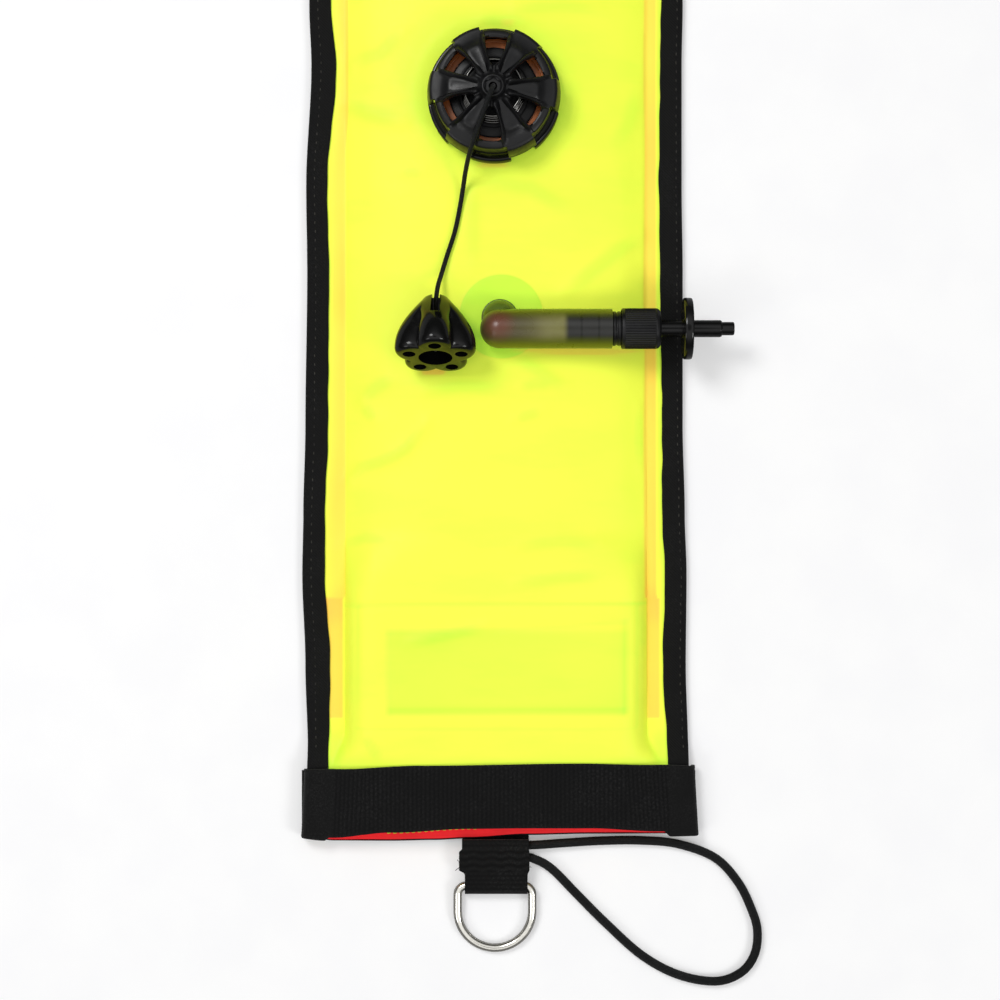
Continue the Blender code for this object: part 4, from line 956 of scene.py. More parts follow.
def lime_and_painted_shade(x, y, ripple):
    """Greener places: round the valve and over the plate, and painted shade in the low corners, along the
    band's upper edge, along folds and welds and beside the right tape.
    """
    lime = 0.22 * round_mask(x, y, VALVE, 0.0310, 0.0040) + 0.10 * round_mask(x, y, VALVE, 0.052, 0.018)
    plate = photo_window(x, y, *PLATE_SHINE, 0.0016)
    lime = np.maximum(lime, 0.42 * plate * (0.9 + 0.25 * ripple))
    # Painted shade in the low corners.
    corner = window(x, -0.070, -0.0585, 0.003) + window(x, 0.0600, 0.070, 0.003)
    lime = np.maximum(lime, 0.5 * corner * (1.0 - smooth_step((y - 0.020) / 0.012)))
    # Painted shade along the band's upper edge.
    lime = np.maximum(lime, 0.3 * window(y, 0.010, 0.0155, 0.003))
    # Painted shade along each fold.
    for stops, depth, width in FOLDS:
        first, last = photo_point(*stops[0]), photo_point(*stops[-1])
        middle = ((first[0] + last[0]) / 2, (first[1] + last[1]) / 2)
        away = from_centre(x, y, middle) / (0.52 * math.dist(first, last))
        shown = (0.20 + 0.26 * depth) * (1.0 - smooth_step((away - 0.35) / 0.75))
        lime = lime + shown * beside(x, y, stops, width / 1000 * 0.75, 0.0006)
    # Painted shade along the pocket's welds.
    for stops, depth, width in WELDS[:POCKET_WELDS]:
        lime = lime + depth * 1.1 * beside(x, y, stops, width / 1000)
    # Painted shade beside the right tape.
    edge = through(RIGHT_INNER, y) - panel_x(x, y)
    return lime + 0.35 * window(edge, 0.0002, 0.0014, 0.0004) * smooth_step((y - 0.06) / 0.02)


def fabric_tone(x, y):
    """Shares of orange, lime and shade in the fabric's colour; all three hold painted shade."""
    ripple = waves(x, y, 0.05, 14)
    shade = 0.22 * beside(x, y, WELDS[POCKET_WELDS][0], 0.0004)
    tone = np.stack([orange_and_contact_shade(x, y, ripple), lime_and_painted_shade(x, y, ripple), shade], -1)
    return np.clip(tone, 0.0, 1.0).reshape(-1, 3)


def panel_mesh(x, y, level, bottom, reach):
    """A panel whose lower edge is drawn to a line, over a reach above the mouth."""
    start = 1.0 - smooth_step((y - MOUTH_Y) / reach)
    low = np.stack([panel_x(x, y), y + (bottom - MOUTH_Y - GAP) * start, level], -1)
    return shell_mesh(low, raised(low, FABRIC))


def nodes_of(side):
    return [name for name in frame["nodes"] if name.startswith(side)]


def build_front():
    columns = steps((-PANEL_HALF, -0.055, 0.0006), (-0.055, 0.055, 0.00125), (0.055, PANEL_HALF, 0.0006))
    rows = steps((MOUTH_Y + GAP, 0.330, 0.00125), (0.330, PANEL_TOP_Y, 0.0045))
    x, y = np.meshgrid(columns, rows)
    level = front_level(x, y) + fabric_relief(x, y)
    mesh = panel_mesh(x, y, level, through(BAND_BOTTOM, x) + 0.0004, 0.03)
    add_layer(mesh, "tone", fabric_tone(x, y))
    cloth = piece("front_fabric", mesh, "fluorescent_fabric", *nodes_of("front_"), sharp=40)


def build_back():
    rows = steps((MOUTH_Y + GAP, 0.06, 0.0012), (0.06, PANEL_TOP_Y, 0.0045))
    x, y = np.meshgrid(steps((-PANEL_HALF, PANEL_HALF, 0.0024)), rows)
    inside = smooth_step((0.050 - np.abs(x)) / 0.012)
    waved = (waves(x, y, 0.09, 31) ** 2) * 0.0005 * inside * smooth_step((y - 0.02) / 0.02)
    mesh = panel_mesh(x, y, back_level(x, y) + waved, through(RED_EDGE, x), 0.02)
    cloth = piece("back_fabric", mesh, "red_fabric", *nodes_of("back_"), sharp=40)


def build_inside():
    """The one-way flap and the ballast pocket, soft sheets inside the bag."""
    for name, node_name, bow in INSIDE:
        first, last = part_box(node_name)
        x, y = np.meshgrid(steps((first[0], last[0], 0.003)), steps((first[1], last[1], 0.003)))
        part = (y - first[1]) / (last[1] - first[1])
        level = first[2] + bow * part * (1.0 + 0.5 * waves(x, y, 0.03, 5))
        low = np.stack([x, y, level], -1)
        mesh = shell_mesh(low, raised(low, INNER_FABRIC))
        cloth = piece(name, mesh, "inner_fabric", node_name, sharp=40)


# The edging tape, folded round the bag's edge. Its section is (share of its width inwards, height).

TAPE_SECTION = (
    (1.00, 0.0), (0.55, 0.0), (0.10, 0.0), (0.03, TAPE_HEIGHT * 0.14), (0.00, TAPE_HEIGHT * 0.36),
    (0.00, TAPE_HEIGHT * 0.64), (0.03, TAPE_HEIGHT * 0.86), (0.10, TAPE_HEIGHT * 0.985), (0.35, TAPE_HEIGHT),
    (0.60, TAPE_HEIGHT), (0.85, TAPE_HEIGHT), (0.97, TAPE_HEIGHT), (1.00, TAPE_HEIGHT - TAPE * 0.35),
    (1.00, TAPE_HEIGHT - TAPE), (0.55, TAPE_HEIGHT - TAPE), (0.12, TAPE_HEIGHT - TAPE),
    (0.065, TAPE_HEIGHT * 0.62), (0.065, TAPE_HEIGHT * 0.38), (0.12, TAPE), (0.55, TAPE), (1.00, TAPE),
)
# Each side's tape: its lines, the seed of its waves, and the place of its stitches across it.
TAPE_SIDES = {"left": (LEFT_OUTER, LEFT_INNER, 41, 0.40), "right": (RIGHT_OUTER, RIGHT_INNER, 42, 0.26)}
# Rows of stitches as start, end and spacing, and a stitch as length, width and height.
EDGE_ROW = (0.020, 1.170, 0.0034)
EDGE_STITCH = (0.0012, 0.0004, 0.00014)
MOUTH_ROW = (-0.0410, -0.0080, 0.0023)
MOUTH_STITCH = (0.0016, 0.0006, 0.0002)


def build_tapes():
    rows = np.array(steps((MOUTH_Y + GAP, 0.33, 0.0016), (0.33, TOP_Y, 0.006)))
    for side, (outer, inner, seed, _) in TAPE_SIDES.items():
        wobble = waves(0.0 * rows, rows, 0.012, seed) * 0.00018
        thick = waves(0.0 * rows + 1.0, rows, 0.007, seed + 5) * 0.00012
        sections = []
        for y, ox, ix, t in zip(rows, through(outer, rows), through(inner, rows) + wobble, thick):
            ring = []
            for share, z in TAPE_SECTION:
                puff = t * (z > TAPE_HEIGHT * 0.9) * math.sin(math.pi * min(share, 1.0))
                ring.append((ox + (ix - ox) * share, y, float(lift(y)) + z + puff))
            sections.append(ring)
        node_name = "edge_tape_" + side
        piece(node_name + "_woven", bodies_mesh([sections]), "edging_tape", node_name, sharp=50)
    half = TAPE_INNER_X - GAP
    sections = []
    for x in steps((-half, half, 0.003)):
        wobble = float(waves(x, 0.0, 0.02, 47)) * 0.00015
        sections.append([(x, TOP_Y - share * TAPE_WIDTH + wobble * share, z) for share, z in TAPE_SECTION])
    piece("edge_tape_top_woven", bodies_mesh([sections]), "edging_tape", "edge_tape_top", sharp=50)


def stitch(place, along, length, width, height):
    """A short thread lying on a surface: a stretched ball, half sunk."""
    along = Vector(along).normalized()
    up = Vector((0, 0, 1))
    across = up.cross(along).normalized()
    rings = []
    for i in range(5):
        angle = math.pi * (i + 0.5) / 5
        wide = math.sin(angle)
        middle = Vector(place) + along * (-math.cos(angle) * length / 2)
        side, top = across * wide * width / 2, up * wide * height
        rings.append([middle + side * math.cos(turn) + top * math.sin(turn) for turn in turn_angles(8)])
    return rings


def build_edge_stitches():
    random = np.random.default_rng(5)
    for side, (outer, inner, _, share) in TAPE_SIDES.items():
        threads = []
        for y in steps(EDGE_ROW):
            ox, ix = float(through(outer, y)), float(through(inner, y))
            x = ox + (ix - ox) * share + random.uniform(-0.0001, 0.0001)
            z = float(lift(y)) + TAPE_HEIGHT + 0.00004
            threads.append(stitch((x, y, z), (random.uniform(-0.1, 0.1), 1, 0), *EDGE_STITCH))
        piece("edge_stitches_" + side, bodies_mesh(threads), "edging_tape", look="grey_thread")


# The webbing round the mouth.

BAND_TOP = ((-78, 11.2), (-62, 11.7), (-29, 13.5), (32, 14.3), (64, 13.3), (78, 12.8))
BAND_BOTTOM = ((-78, -14.3), (-65, -15.6), (-62.6, -14.4), (-40, -11.9), (-10, -10.3), (12, -10.1),
               (36, -10.2), (63, -12.0), (66, -14.0), (76, -13.8), (78, -12.0))
RED_EDGE = ((-73, -14.2), (-62, -15.6), (-40, -15.7), (-24, -15.4), (-10, -14.8), (12, -13.5), (36, -13.0),
            (65, -12.9), (73, -13.4))
RIB = 0.00165
BEAD = 0.0019
# Half the webbing's thickness, and the outer faces of the band's legs.
HALF = WEBBING / 2
BAND_LEFT = -0.0736
BAND_RIGHT = 0.0764


def band_section():
    """Middle line of the front band's section, from the left leg over the bag to the right leg."""
    leg_low = 2 * (WEBBING + GAP)
    tape_top = MOUTH_RISE + EDGE_LEVEL + FABRIC + GAP + TAPE + GAP
    crown_low = PANEL_Z + GAP
    left = BAND_LEFT + HALF
    right = BAND_RIGHT - HALF
    line = [(left - 0.0003, leg_low), (left, tape_top - 0.0012), (left + 0.0008, tape_top + HALF - 0.0002)]
    for x in spaced(left + 0.0022, right - 0.0022, 61):
        across = min(abs(x) / TAPE_INNER_X, 1.0)
        line.append((x, tape_top + HALF + (crown_low - tape_top) * (1.0 - across**CROWN_POWER)))
    line += [(right - 0.0008, tape_top + HALF - 0.0002), (right, tape_top - 0.0012)]
    line.append((right + 0.0003, leg_low))
    return smooth_route([(x, 0.0, z) for x, z in line], RIB / 6)


def running(first, second):
    """Length along a line of two coordinates, and its unit normal to the left, point by point."""
    length = np.concatenate([[0.0], np.cumsum(np.hypot(np.diff(first), np.diff(second)))])
    slopes = np.gradient(first), np.gradient(second)
    size = np.hypot(*slopes)
    return length, -slopes[1] / size, slopes[0] / size


def beaded(along, across, low, high):
    """Rows of beads over the ribs of a webbing, each rib shifted by half a bead, between low and high."""
    odd = np.floor(along / RIB + 0.5) % 2
    return low + high * np.cos(2 * math.pi * (across / BEAD + odd / 2))


def rib_height(s, y, x):
    """Ribs of the webbing across its length, each a row of beads, and the finer weave of its sewn ends."""
    rib = (0.5 + 0.5 * np.cos(2 * math.pi * s / RIB)) ** 0.8
    coarse = 0.00036 * rib * beaded(s, y, 0.72, 0.28)
    fine = 0.00013 * (0.5 + 0.5 * np.cos(2 * math.pi * s / 0.00083) * np.cos(2 * math.pi * y / 0.0011))
    patch = np.maximum(1.0 - smooth_step((x + 0.0625) / 0.0012), smooth_step((x - 0.0655) / 0.0012))
    row = 0.00012 * around_line(x + 0.0573, 0.0004) * (y < -0.0030)
    return coarse * (1.0 - patch) + (fine + 0.00016) * patch + row


def groove_of(relief):
    """How deep a point lies between the ribs, which sets the painted shade there."""
    return 0.7 - 0.7 * np.clip(relief / 0.0003, 0.0, 1.0)


def build_bands():
    line = band_section()
    x = np.array([point.x for point in line])
    z = np.array([point.z for point in line])
    s, normal_x, normal_z = running(x, z)
    parts = np.linspace(0.0, 1.0, 66)[:, None]
    bottom = through(BAND_BOTTOM, x)
    y = bottom + (through(BAND_TOP, x) - bottom) * parts
    slant = np.where(x < 0, -0.0011, 0.0015) * (0.5 - parts) * (np.abs(x) > 0.05)
    edge = np.minimum(parts, 1 - parts) * BAND_WIDTH
    relief = rib_height(s, y, x) * smooth_step(edge / 0.0006) + 0.0002 * around_line(edge, 0.0008)
    high = np.stack([x + slant + normal_x * (HALF + relief), y, z + normal_z * (HALF + relief) - 0.0001], -1)
    low = np.stack([x + slant - normal_x * HALF, y, np.broadcast_to(z - normal_z * HALF, y.shape)], -1)
    mesh = shell_mesh(low, high)
    # Painted shade between the ribs, stored in a layer.
    add_layer(mesh, "groove_shade", groove_of(relief).reshape(-1, 1))
    piece("mouth_webbing_front", mesh, "webbing", "mouth_band_front", sharp=60)

    x, part = np.meshgrid(steps((-0.0745, 0.0765, RIB / 6)), np.linspace(0.0, 1.0, 54))
    low_edge = through(RED_EDGE, x) - 0.0007
    y = low_edge + (MOUTH_Y + BAND_WIDTH - low_edge) * part
    relief = rib_height(x, y, x) * smooth_step(np.minimum(part, 1 - part) * BAND_WIDTH / 0.0006)
    base = WEBBING + GAP
    low = np.stack([x, y, base - relief * 0.6], -1)
    high = np.stack([x, y, np.full_like(x, base + WEBBING)], -1)
    piece("mouth_webbing_back", shell_mesh(low, high), "webbing", "mouth_band_back", sharp=60)


def build_mouth_stitches():
    """The bright stitches below the band."""
    random = np.random.default_rng(23)
    threads = []
    for x in steps(MOUTH_ROW):
        place = (x, float(through(BAND_BOTTOM, x)) - 0.0013, MOUTH_RISE + FABRIC + 0.00006)
        threads.append(stitch(place, (1, random.uniform(0.0, 0.25), 0), *MOUTH_STITCH))
    piece("mouth_stitches", bodies_mesh(threads), "fluorescent_fabric", look="lime_thread")


# The tether tab and the D-ring.

TAB_LEFT = -0.0130
TAB_RIGHT = 0.0126
SEWN = (-0.0276, -0.0197)
RAGGED_EDGE = -0.0196
# Loose threads at the tab's ragged edge: place, reach and turn.
LOOSE = (
    (-0.0140, -0.0262, 0.0022, -0.6),
    (-0.0139, -0.0240, 0.0013, 0.5),
    (0.0127, -0.0258, 0.0012, -0.4),
)
RING_HALF = 0.01430
RING_DEPTH = 0.02425
RING_CORNER = 0.0034
RING_WIRE = 0.0016
RING_REST = 0.00155


def tab_line():
    """The tab's middle line: under the band, round the ring's bar and back on top."""
    bar_y, bar_z = RING_BAR[1:]
    radius = bar_z - HALF
    line = [(0.0058, HALF), (-0.010, HALF), (-0.024, HALF)]
    for k in range(13):
        angle = math.pi * k / 12
        line.append((bar_y - radius * math.sin(angle), bar_z - radius * math.cos(angle)))
    line += [(-0.0300, bar_z + radius), (-0.0255, bar_z + radius + 0.0002), (-0.0155, bar_z + radius)]
    return smooth_route([(0.0, y, z) for y, z in line], 0.00028)


def build_tab():
    line = tab_line()
    y = np.array([[point.y] for point in line])
    z = np.array([[point.z] for point in line])
    along, normal_y, normal_z = (values[:, None] for values in running(y[:, 0], z[:, 0]))
    share = np.linspace(-1.0, 1.0, 90)
    on_top = z > RING_BAR[2]
    sewn = window(y, *SEWN, 0.0006) * on_top
    narrow = smooth_step((-0.0270 - y) / 0.002)
    ragged = waves(y * 3.0, y, 0.0022, 17) * 0.00022
    left = TAB_LEFT + 0.0011 * narrow - (0.0011 + ragged) * sewn
    right = TAB_RIGHT - 0.0005 * narrow + 0.0002 * sewn + ragged * 0.3
    x = left + (right - left) * (share + 1) / 2
    rib = 0.5 + 0.5 * np.cos(2 * math.pi * along / RIB)
    edge = smooth_step((1.0 - np.abs(share)) / 0.06)
    stitched = 0.5 + 0.5 * np.cos(2 * math.pi * (along + 0.00035 * np.sin(x / 0.0011)) / 0.0026)
    relief = (0.00034 * rib * beaded(along, x, 0.7, 0.3) * (1.0 - 0.5 * sewn)) * edge
    relief = relief + sewn * (0.00030 + 0.00038 * stitched) * smooth_step((1.0 - np.abs(share)) / 0.12)
    relief = relief + 0.0004 * around_line(y - RAGGED_EDGE, 0.0007) * on_top * edge
    outer_z = np.maximum(z - normal_z * (HALF + relief), 0.0)
    outer = np.stack([x, y - normal_y * (HALF + relief), outer_z], -1)
    inner = np.stack(np.broadcast_arrays(x, y + normal_y * HALF, z + normal_z * HALF), -1)
    mesh = shell_mesh(inner, outer)
    # Painted shade between the stitches of the sewn part and between the ribs elsewhere.
    groove_shade = np.where(sewn > 0.4, 0.9 - 0.9 * stitched, groove_of(relief))
    add_layer(mesh, "groove_shade", groove_shade.reshape(-1, 1))
    piece("tether_webbing", mended(mesh), "webbing", "tether_tab", sharp=60)


def build_tab_threads():
    joined = bmesh.new()
    for x, y, reach, turn in LOOSE:
        way = -1.0 if x < 0 else 1.0
        stops = []
        for part in spaced(0.0, 1.0, 5):
            rise = 0.0062 - 0.0012 * part + 0.0003 * math.sin(5 * part)
            stops.append((x + way * reach * (part - 0.3), y + turn * reach * part * part, rise))
        joined.from_mesh(tube_mesh(smooth_route(stops, 0.0002), 0.00011, 8))
    mesh = bpy.data.meshes.new("part")
    joined.to_mesh(mesh)
    joined.free()
    piece("tab_threads", mesh, "webbing")


def build_ring():
    half = RING_HALF - RING_CORNER
    bend = RING_HALF - RING_DEPTH
    arcs = [(half, -RING_CORNER, RING_CORNER, math.pi / 2 - math.pi / 2 * k / 8) for k in range(9)]
    arcs += [(0.0, bend, RING_HALF, -math.pi * k / 40) for k in range(41)]
    route = [Vector((x + reach * math.cos(a), y + reach * math.sin(a), 0.0)) for x, y, reach, a in arcs]
    route += [Vector((-point.x, point.y, 0.0)) for point in reversed(route[:9])]
    route += [Vector((x, 0.0, 0.0)) for x in spaced(-half, half, 15)[1:-1]]
    drop = math.asin((RING_BAR[2] - RING_REST) / RING_DEPTH)
    place = Matrix.Translation(RING_BAR) @ Matrix.Rotation(drop, 4, "X")
    mesh = tube_mesh([place @ point for point in route], RING_WIRE, 28, cyclic=True)
    piece("steel_ring", mesh, "stainless_steel", "d_ring", body="ring")


# The dump valve. Heights are above the front panel.

# The valve leans a little on its cloth, which shows as a shift of its foot.
VALVE_LEAN = Matrix(((1, 0, -0.03, 0.0003), (0, 1, 0.03, -0.00095), (0, 0, 1, 0), (0, 0, 0, 1)))
VALVE_TURN = Matrix.Rotation(math.radians(-3.5), 4, "Z")
VALVE_PLACE = Matrix.Translation((*VALVE, PANEL_Z)) @ VALVE_LEAN @ VALVE_TURN
SECTORS = 6
# Points round one sector of the cap, and across half of it.
COLUMNS = 24
ACROSS = COLUMNS // 2 + 1
HEX_RADII = (3.0, 3.06)
HUB_ROWS = ((1.6, 20.5), (3.0, 20.5), (3.06, 21.2), (3.3, 21.6), (3.6, 21.85), (3.95, 21.8), (4.2, 21.5),
            (4.4, 21.0), (4.5, 20.2), (4.7, 19.95), (5.2, 20.15))
CAP_RADII = (5.7, 6.3, 7.0, 7.6, 8.0, 8.8, 9.8, 11.2, 12.6, 13.8, 14.8, 15.4, 16.0, 16.6, 17.2, 17.9,
             18.3, 18.8, 19.4, 20.0, 20.8, 21.6, 22.1)
WINDOW_ROWS = (7.6, 19.4)
FAN_HALF = ((5.7, 0.6), (6.5, 0.75), (8, 1.25), (10.2, 1.85), (14.8, 2.7), (17, 3.1), (19.3, 4.0),
            (22.9, 4.7))
WINDOW_HALF = ((7.6, 0.4), (8.0, 0.9), (9.2, 1.6), (11.4, 2.5), (14.8, 3.5), (17.9, 4.15), (18.8, 4.2),
               (19.4, 4.0), (22, 4.9))
FAN_SHOULDER = ((0, 0), (13.8, 0.0), (15.4, 0.14), (16.6, 0.14), (17.2, 0.0))
FAN_RIM = ((17.2, 17.8), (18.3, 17.05), (19.4, 16.4), (20.8, 15.9), (22.4, 15.5))
WINDOW_RIM = ((19.4, 15.35), (20.0, 15.65), (20.8, 15.6), (22.1, 15.0), (22.4, 14.9))
RIDGE = (0.45, 1.10, 1.35, 1.20, 0.70)
LUG_SECTION = ((19.6, 15.5), (20.4, 15.72), (22.6, 15.5), (23.5, 15.2), (23.9, 14.7), (25.1, 8.0),
               (24.9, 7.5), (22.8, 7.5), (22.75, 13.9), (21.6, 14.4), (19.6, 14.6))
BASE_SECTION = ((21.6, 0.6), (24.9, 0.6), (25.2, 0.9), (25.2, 4.7), (24.95, 5.0), (24.3, 5.0), (24.0, 5.2),
                (22.7, 7.2), (21.6, 7.2))
BODY_PROFILE = ((12.0, 5.3), (20.8, 5.3), (20.8, 0.3), (22.4, 0.3), (22.4, 12.0), (20.8, 12.0), (20.8, 6.9),
                (14.6, 6.9), (14.6, 7.5), (13.6, 7.5), (13.6, 6.9), (12.0, 6.9))
SEAL_PROFILE = ((10.5, 7.8), (20.3, 7.8), (20.3, 8.6), (19.2, 8.6), (19.0, 8.45), (18.8, 8.6), (10.5, 8.6))
POPPET_PROFILE = ((0.0, 7.8), (10.2, 7.8), (10.2, 8.9), (16.9, 8.9), (16.9, 9.4), (16.4, 9.6), (14.2, 10.0),
                  (13.3, 10.0), (13.1, 9.75), (12.9, 10.0), (3.4, 10.0), (2.6, 10.6), (2.0, 11.4),
                  (2.0, 13.0), (0.0, 13.0))


def lookup(stops, value):
    return float(np.interp(value, *zip(*stops)))


def dome(radius):
    return 15.3 + 5.2 * (1.0 - (max(radius - 4.5, 0.0) / 17.9) ** 2)


def cap_angles(radius):
    """Angles of half a sector's columns: fan, ridge and window."""
    wide = max(radius, 5.7)
    fan = math.degrees(math.asin(lookup(FAN_HALF, wide) / wide))
    wide = max(radius, WINDOW_ROWS[0])
    edge = 30.0 - math.degrees(math.asin(lookup(WINDOW_HALF, wide) / wide))
    angles = [fan * j / 4 for j in range(5)]
    angles += [fan + (edge - fan) * j / 5 for j in range(1, 6)]
    return angles + [edge + (30.0 - edge) * j / 3 for j in range(1, 4)]


def cap_height(radius, column):
    top = dome(radius)
    ridge = RIDGE[column - 5] if 5 <= column <= 9 else 0.0
    fade = smooth_step((radius - 5.2) / 1.5) * (1.0 - smooth_step((radius - 19.0) / 2.5))
    if column <= 4:
        near_hub = 1.0 - smooth_step((radius - 8.0) / 6.0)
        hollow = 0.42 * (1.0 - (column / 4) ** 2) * smooth_step((radius - 7.0) / 5.0)
        hollow = hollow * (1.0 - smooth_step((radius - 14.6) / 2.2))
        sunk = 0.30 * near_hub + hollow + (0.35 if column == 4 else 0.0)
        inside = top + lookup(FAN_SHOULDER, radius) - sunk * fade
    else:
        inside = top + ridge * fade
    if radius <= FAN_RIM[0][0]:
        return inside
    if column >= 10 or (column == 9 and radius > WINDOW_ROWS[1]):
        return lookup(WINDOW_RIM, radius)
    return lookup(FAN_RIM, radius) + ridge * fade


def cap_under(radius):
    under = dome(radius) - 1.8
    return under + (13.8 - under) * smooth_step((radius - 15.4) / 2.5)


def cap_rows():
    """Rows of the cap from its hub outwards: radius, heights of its columns, and radius and height below."""
    rows = [(radius, [height] * ACROSS, radius, 18.6) for radius, height in HUB_ROWS]
    for radius in CAP_RADII:
        heights = [cap_height(radius, column) for column in range(ACROSS)]
        rows.append((radius, heights, min(radius, 20.5), cap_under(radius)))
    return rows + [(22.38, [14.6] * ACROSS, 20.7, 13.2), (22.4, [12.3] * ACROSS, 20.7, 12.3)]


def cap_mesh():
    """The cap: fans between raised ribs that frame six windows, round a hub with a hexagonal recess."""
    rows = cap_rows()
    wide = COLUMNS * SECTORS
    top = []
    low = []
    for radius, heights, low_radius, low_height in rows:
        angles = cap_angles(radius)
        for k in range(wide):
            step = k % COLUMNS
            column = min(step, COLUMNS - step)
            turn = angles[column] if step == column else 60.0 - angles[column]
            angle = math.radians(60 * (k // COLUMNS) + turn)
            reach = radius
            if radius in HEX_RADII:
                flat = (angle + math.pi / 6) % (math.pi / 3) - math.pi / 6
                reach = radius * math.cos(math.pi / 6) / math.cos(flat)
            top.append(polar(reach, angle, heights[column]))
            low.append(polar(low_radius, angle, low_height))

    def kept(row, column):
        if not 0 <= row < len(rows) - 1:
            return False
        between = WINDOW_ROWS[0] <= rows[row][0] and rows[row + 1][0] <= WINDOW_ROWS[1]
        return not (9 <= column % COLUMNS <= 14 and between)

    count = len(rows) * wide
    faces = []
    for row in range(len(rows) - 1):
        for column in range(wide):
            if not kept(row, column):
                continue
            near = (column + 1) % wide
            a, b = row * wide + column, row * wide + near
            c, d = b + wide, a + wide
            faces.append((a, d, c, b))
            faces.append((a + count, b + count, c + count, d + count))
            sides = (
                (kept(row - 1, column), a, b),
                (kept(row + 1, column), c, d),
                (kept(row, (column - 1) % wide), d, a),
                (kept(row, near), b, c),
            )
            for beside_kept, first, second in sides:
                if not beside_kept:
                    faces.append((first, second, second + count, first + count))
    both = top + low
    used = sorted({corner for face in faces for corner in face})
    number = {old: new for new, old in enumerate(used)}
    points = [VALVE_PLACE @ (both[old] / 1000) for old in used]
    return mesh_from(points, [tuple(number[i] for i in face) for face in faces])


def arc_blocks(section, start, half, count, ease=0.06):
    """One block of a (radius, height) section in each sector, round an arc about Z, with eased ends."""
    middle = Vector(section[0]).lerp(Vector(section[len(section) // 2]), 0.5)
    turns = [(-1.0, ease), (-0.975, 0.0)] + [(2 * k / count - 1, 0.0) for k in range(1, count)]
    turns += [(0.975, 0.0), (1.0, ease)]
    blocks = []
    for k in range(SECTORS):
        rings = []
        for part, inset in turns:
            angle = math.radians(start + 60 * k + half * part)
            corners = [Vector(corner).lerp(middle, inset) / 1000 for corner in section]
            rings.append([VALVE_PLACE @ polar(corner[0], angle, corner[1]) for corner in corners])
        blocks.append(rings)
    return bodies_mesh(blocks)


def build_dump_valve():
    piece("valve_cap_ribbed", cap_mesh(), "valve_black", "dump_valve_cap", sharp=38)
    piece("valve_cap_lugs", arc_blocks(LUG_SECTION, 0, 13.5, 12), "valve_black", sharp=40)
    mesh = turned_mesh(BODY_PROFILE, VALVE_PLACE, 96, 0.2)
    piece("valve_housing", mesh, "valve_black", "dump_valve_body", sharp=40)
    piece("valve_base_ring", arc_blocks(BASE_SECTION, 30, 18.5, 16), "gloss_black", sharp=40)
    mesh = turned_mesh(SEAL_PROFILE, VALVE_PLACE, 96, 0.12)
    piece("valve_seal_ring", mesh, "amber_silicone", "dump_valve_seal", body="poppet", sharp=50)
    mesh = turned_mesh(POPPET_PROFILE, VALVE_PLACE, 96, 0.15)
    piece("valve_poppet_disc", mesh, "valve_black", "dump_valve_poppet", body="poppet", sharp=40)
    mesh = coil_mesh(VALVE_PLACE, 10.35, 17.75, 12.0, 10.5, 4, 0.75)
    # The valve's coil takes the darker steel: painted shade inside the valve.
    coil = piece("valve_coil", mesh, "stainless_steel", "dump_valve_spring", look="shaded_spring_steel")
    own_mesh(coil)


# The pull knob. Its own Z runs from its nose to its mouth.

KNOB_TIP = Matrix.Rotation(math.radians(90 - 21), 4, "X") @ Matrix.Rotation(math.radians(90), 4, "Z")
KNOB_PLACE = Matrix.Translation(NOSE) @ KNOB_TIP
KNOB_LENGTH = 25.5
KNOB_R = 15.6
KNOB_VALLEY_R = 11.2
KNOB_NOSE_R = 3.6
LOBES = 5
# How far the blind holes lie from the axis, in metres.
HOLE_CIRCLE = 0.0102
# Stations along the knob: part of its length, and share of its radius there.
STATIONS = [(0.012, 0.55), (0.03, 0.85), (0.06, 1.0)] + [(part, 1.0) for part in spaced(0.10, 0.90, 26)]
STATIONS += [(0.925, 0.995), (0.95, 0.98), (0.97, 0.955), (0.985, 0.925), (0.995, 0.885), (1.0, 0.85)]
MOUTH_PROFILE = ((0, 16.5), (5.8, 16.5), (6.4, 26.5), (0, 26.5))
KNOT_PROFILE = ((0, 16.8), (1.9, 16.8), (2.8, 18.0), (2.8, 19.6), (2.1, 21.0), (0.9, 21.3), (0.9, 22.6),
                (0, 22.6))


def knob_radius(part, angle):
    bell = math.sin(math.pi / 2 * min(part / 0.88, 1.0)) ** 1.05
    crest = KNOB_NOSE_R + (KNOB_R - KNOB_NOSE_R) * bell
    valley = KNOB_NOSE_R + (KNOB_VALLEY_R - KNOB_NOSE_R) * bell
    lobe = ((1.0 + math.cos(LOBES * angle)) / 2) ** 0.45
    depth = (crest - valley) * smooth_step((part - 0.16) / 0.40)
    return crest - depth * (1.0 - lobe)


def knob_mesh():
    """The bell with five lobes, its cord slot, its mouth and a blind hole in each lobe."""
    sections = []
    for part, share in STATIONS:
        ring = [polar(knob_radius(part, a) * share, a, part * KNOB_LENGTH) / 1000 for a in turn_angles(160)]
        sections.append([KNOB_PLACE @ point for point in ring])
    cutters = [turned_mesh(MOUTH_PROFILE, KNOB_PLACE, 48, 0.8)]
    cutters.append(turned_mesh(bar(4.0, 18.0, 1.2), KNOB_PLACE, 24, 0.0))
    for angle in turn_angles(LOBES):
        place = KNOB_PLACE @ Matrix.Translation(polar(HOLE_CIRCLE, angle))
        cutters.append(turned_mesh(bar(21.5, 26.5, 2.4), place, 24, 0.3))
    slot = []
    for low, high, wide in ((-2.0, -2.0, 1.25), (6.6, 12.8, 1.15)):
        corners = ((14.0, -1.6 * wide, high), (14.0, 1.6 * wide, high), (-0.8, wide, low), (-0.8, -wide, low))
        slot.append([KNOB_PLACE @ (Vector(corner) / 1000) for corner in corners])
    cutters.append(bodies_mesh([slot]))
    return combined(bodies_mesh([sections]), cutters, "DIFFERENCE")


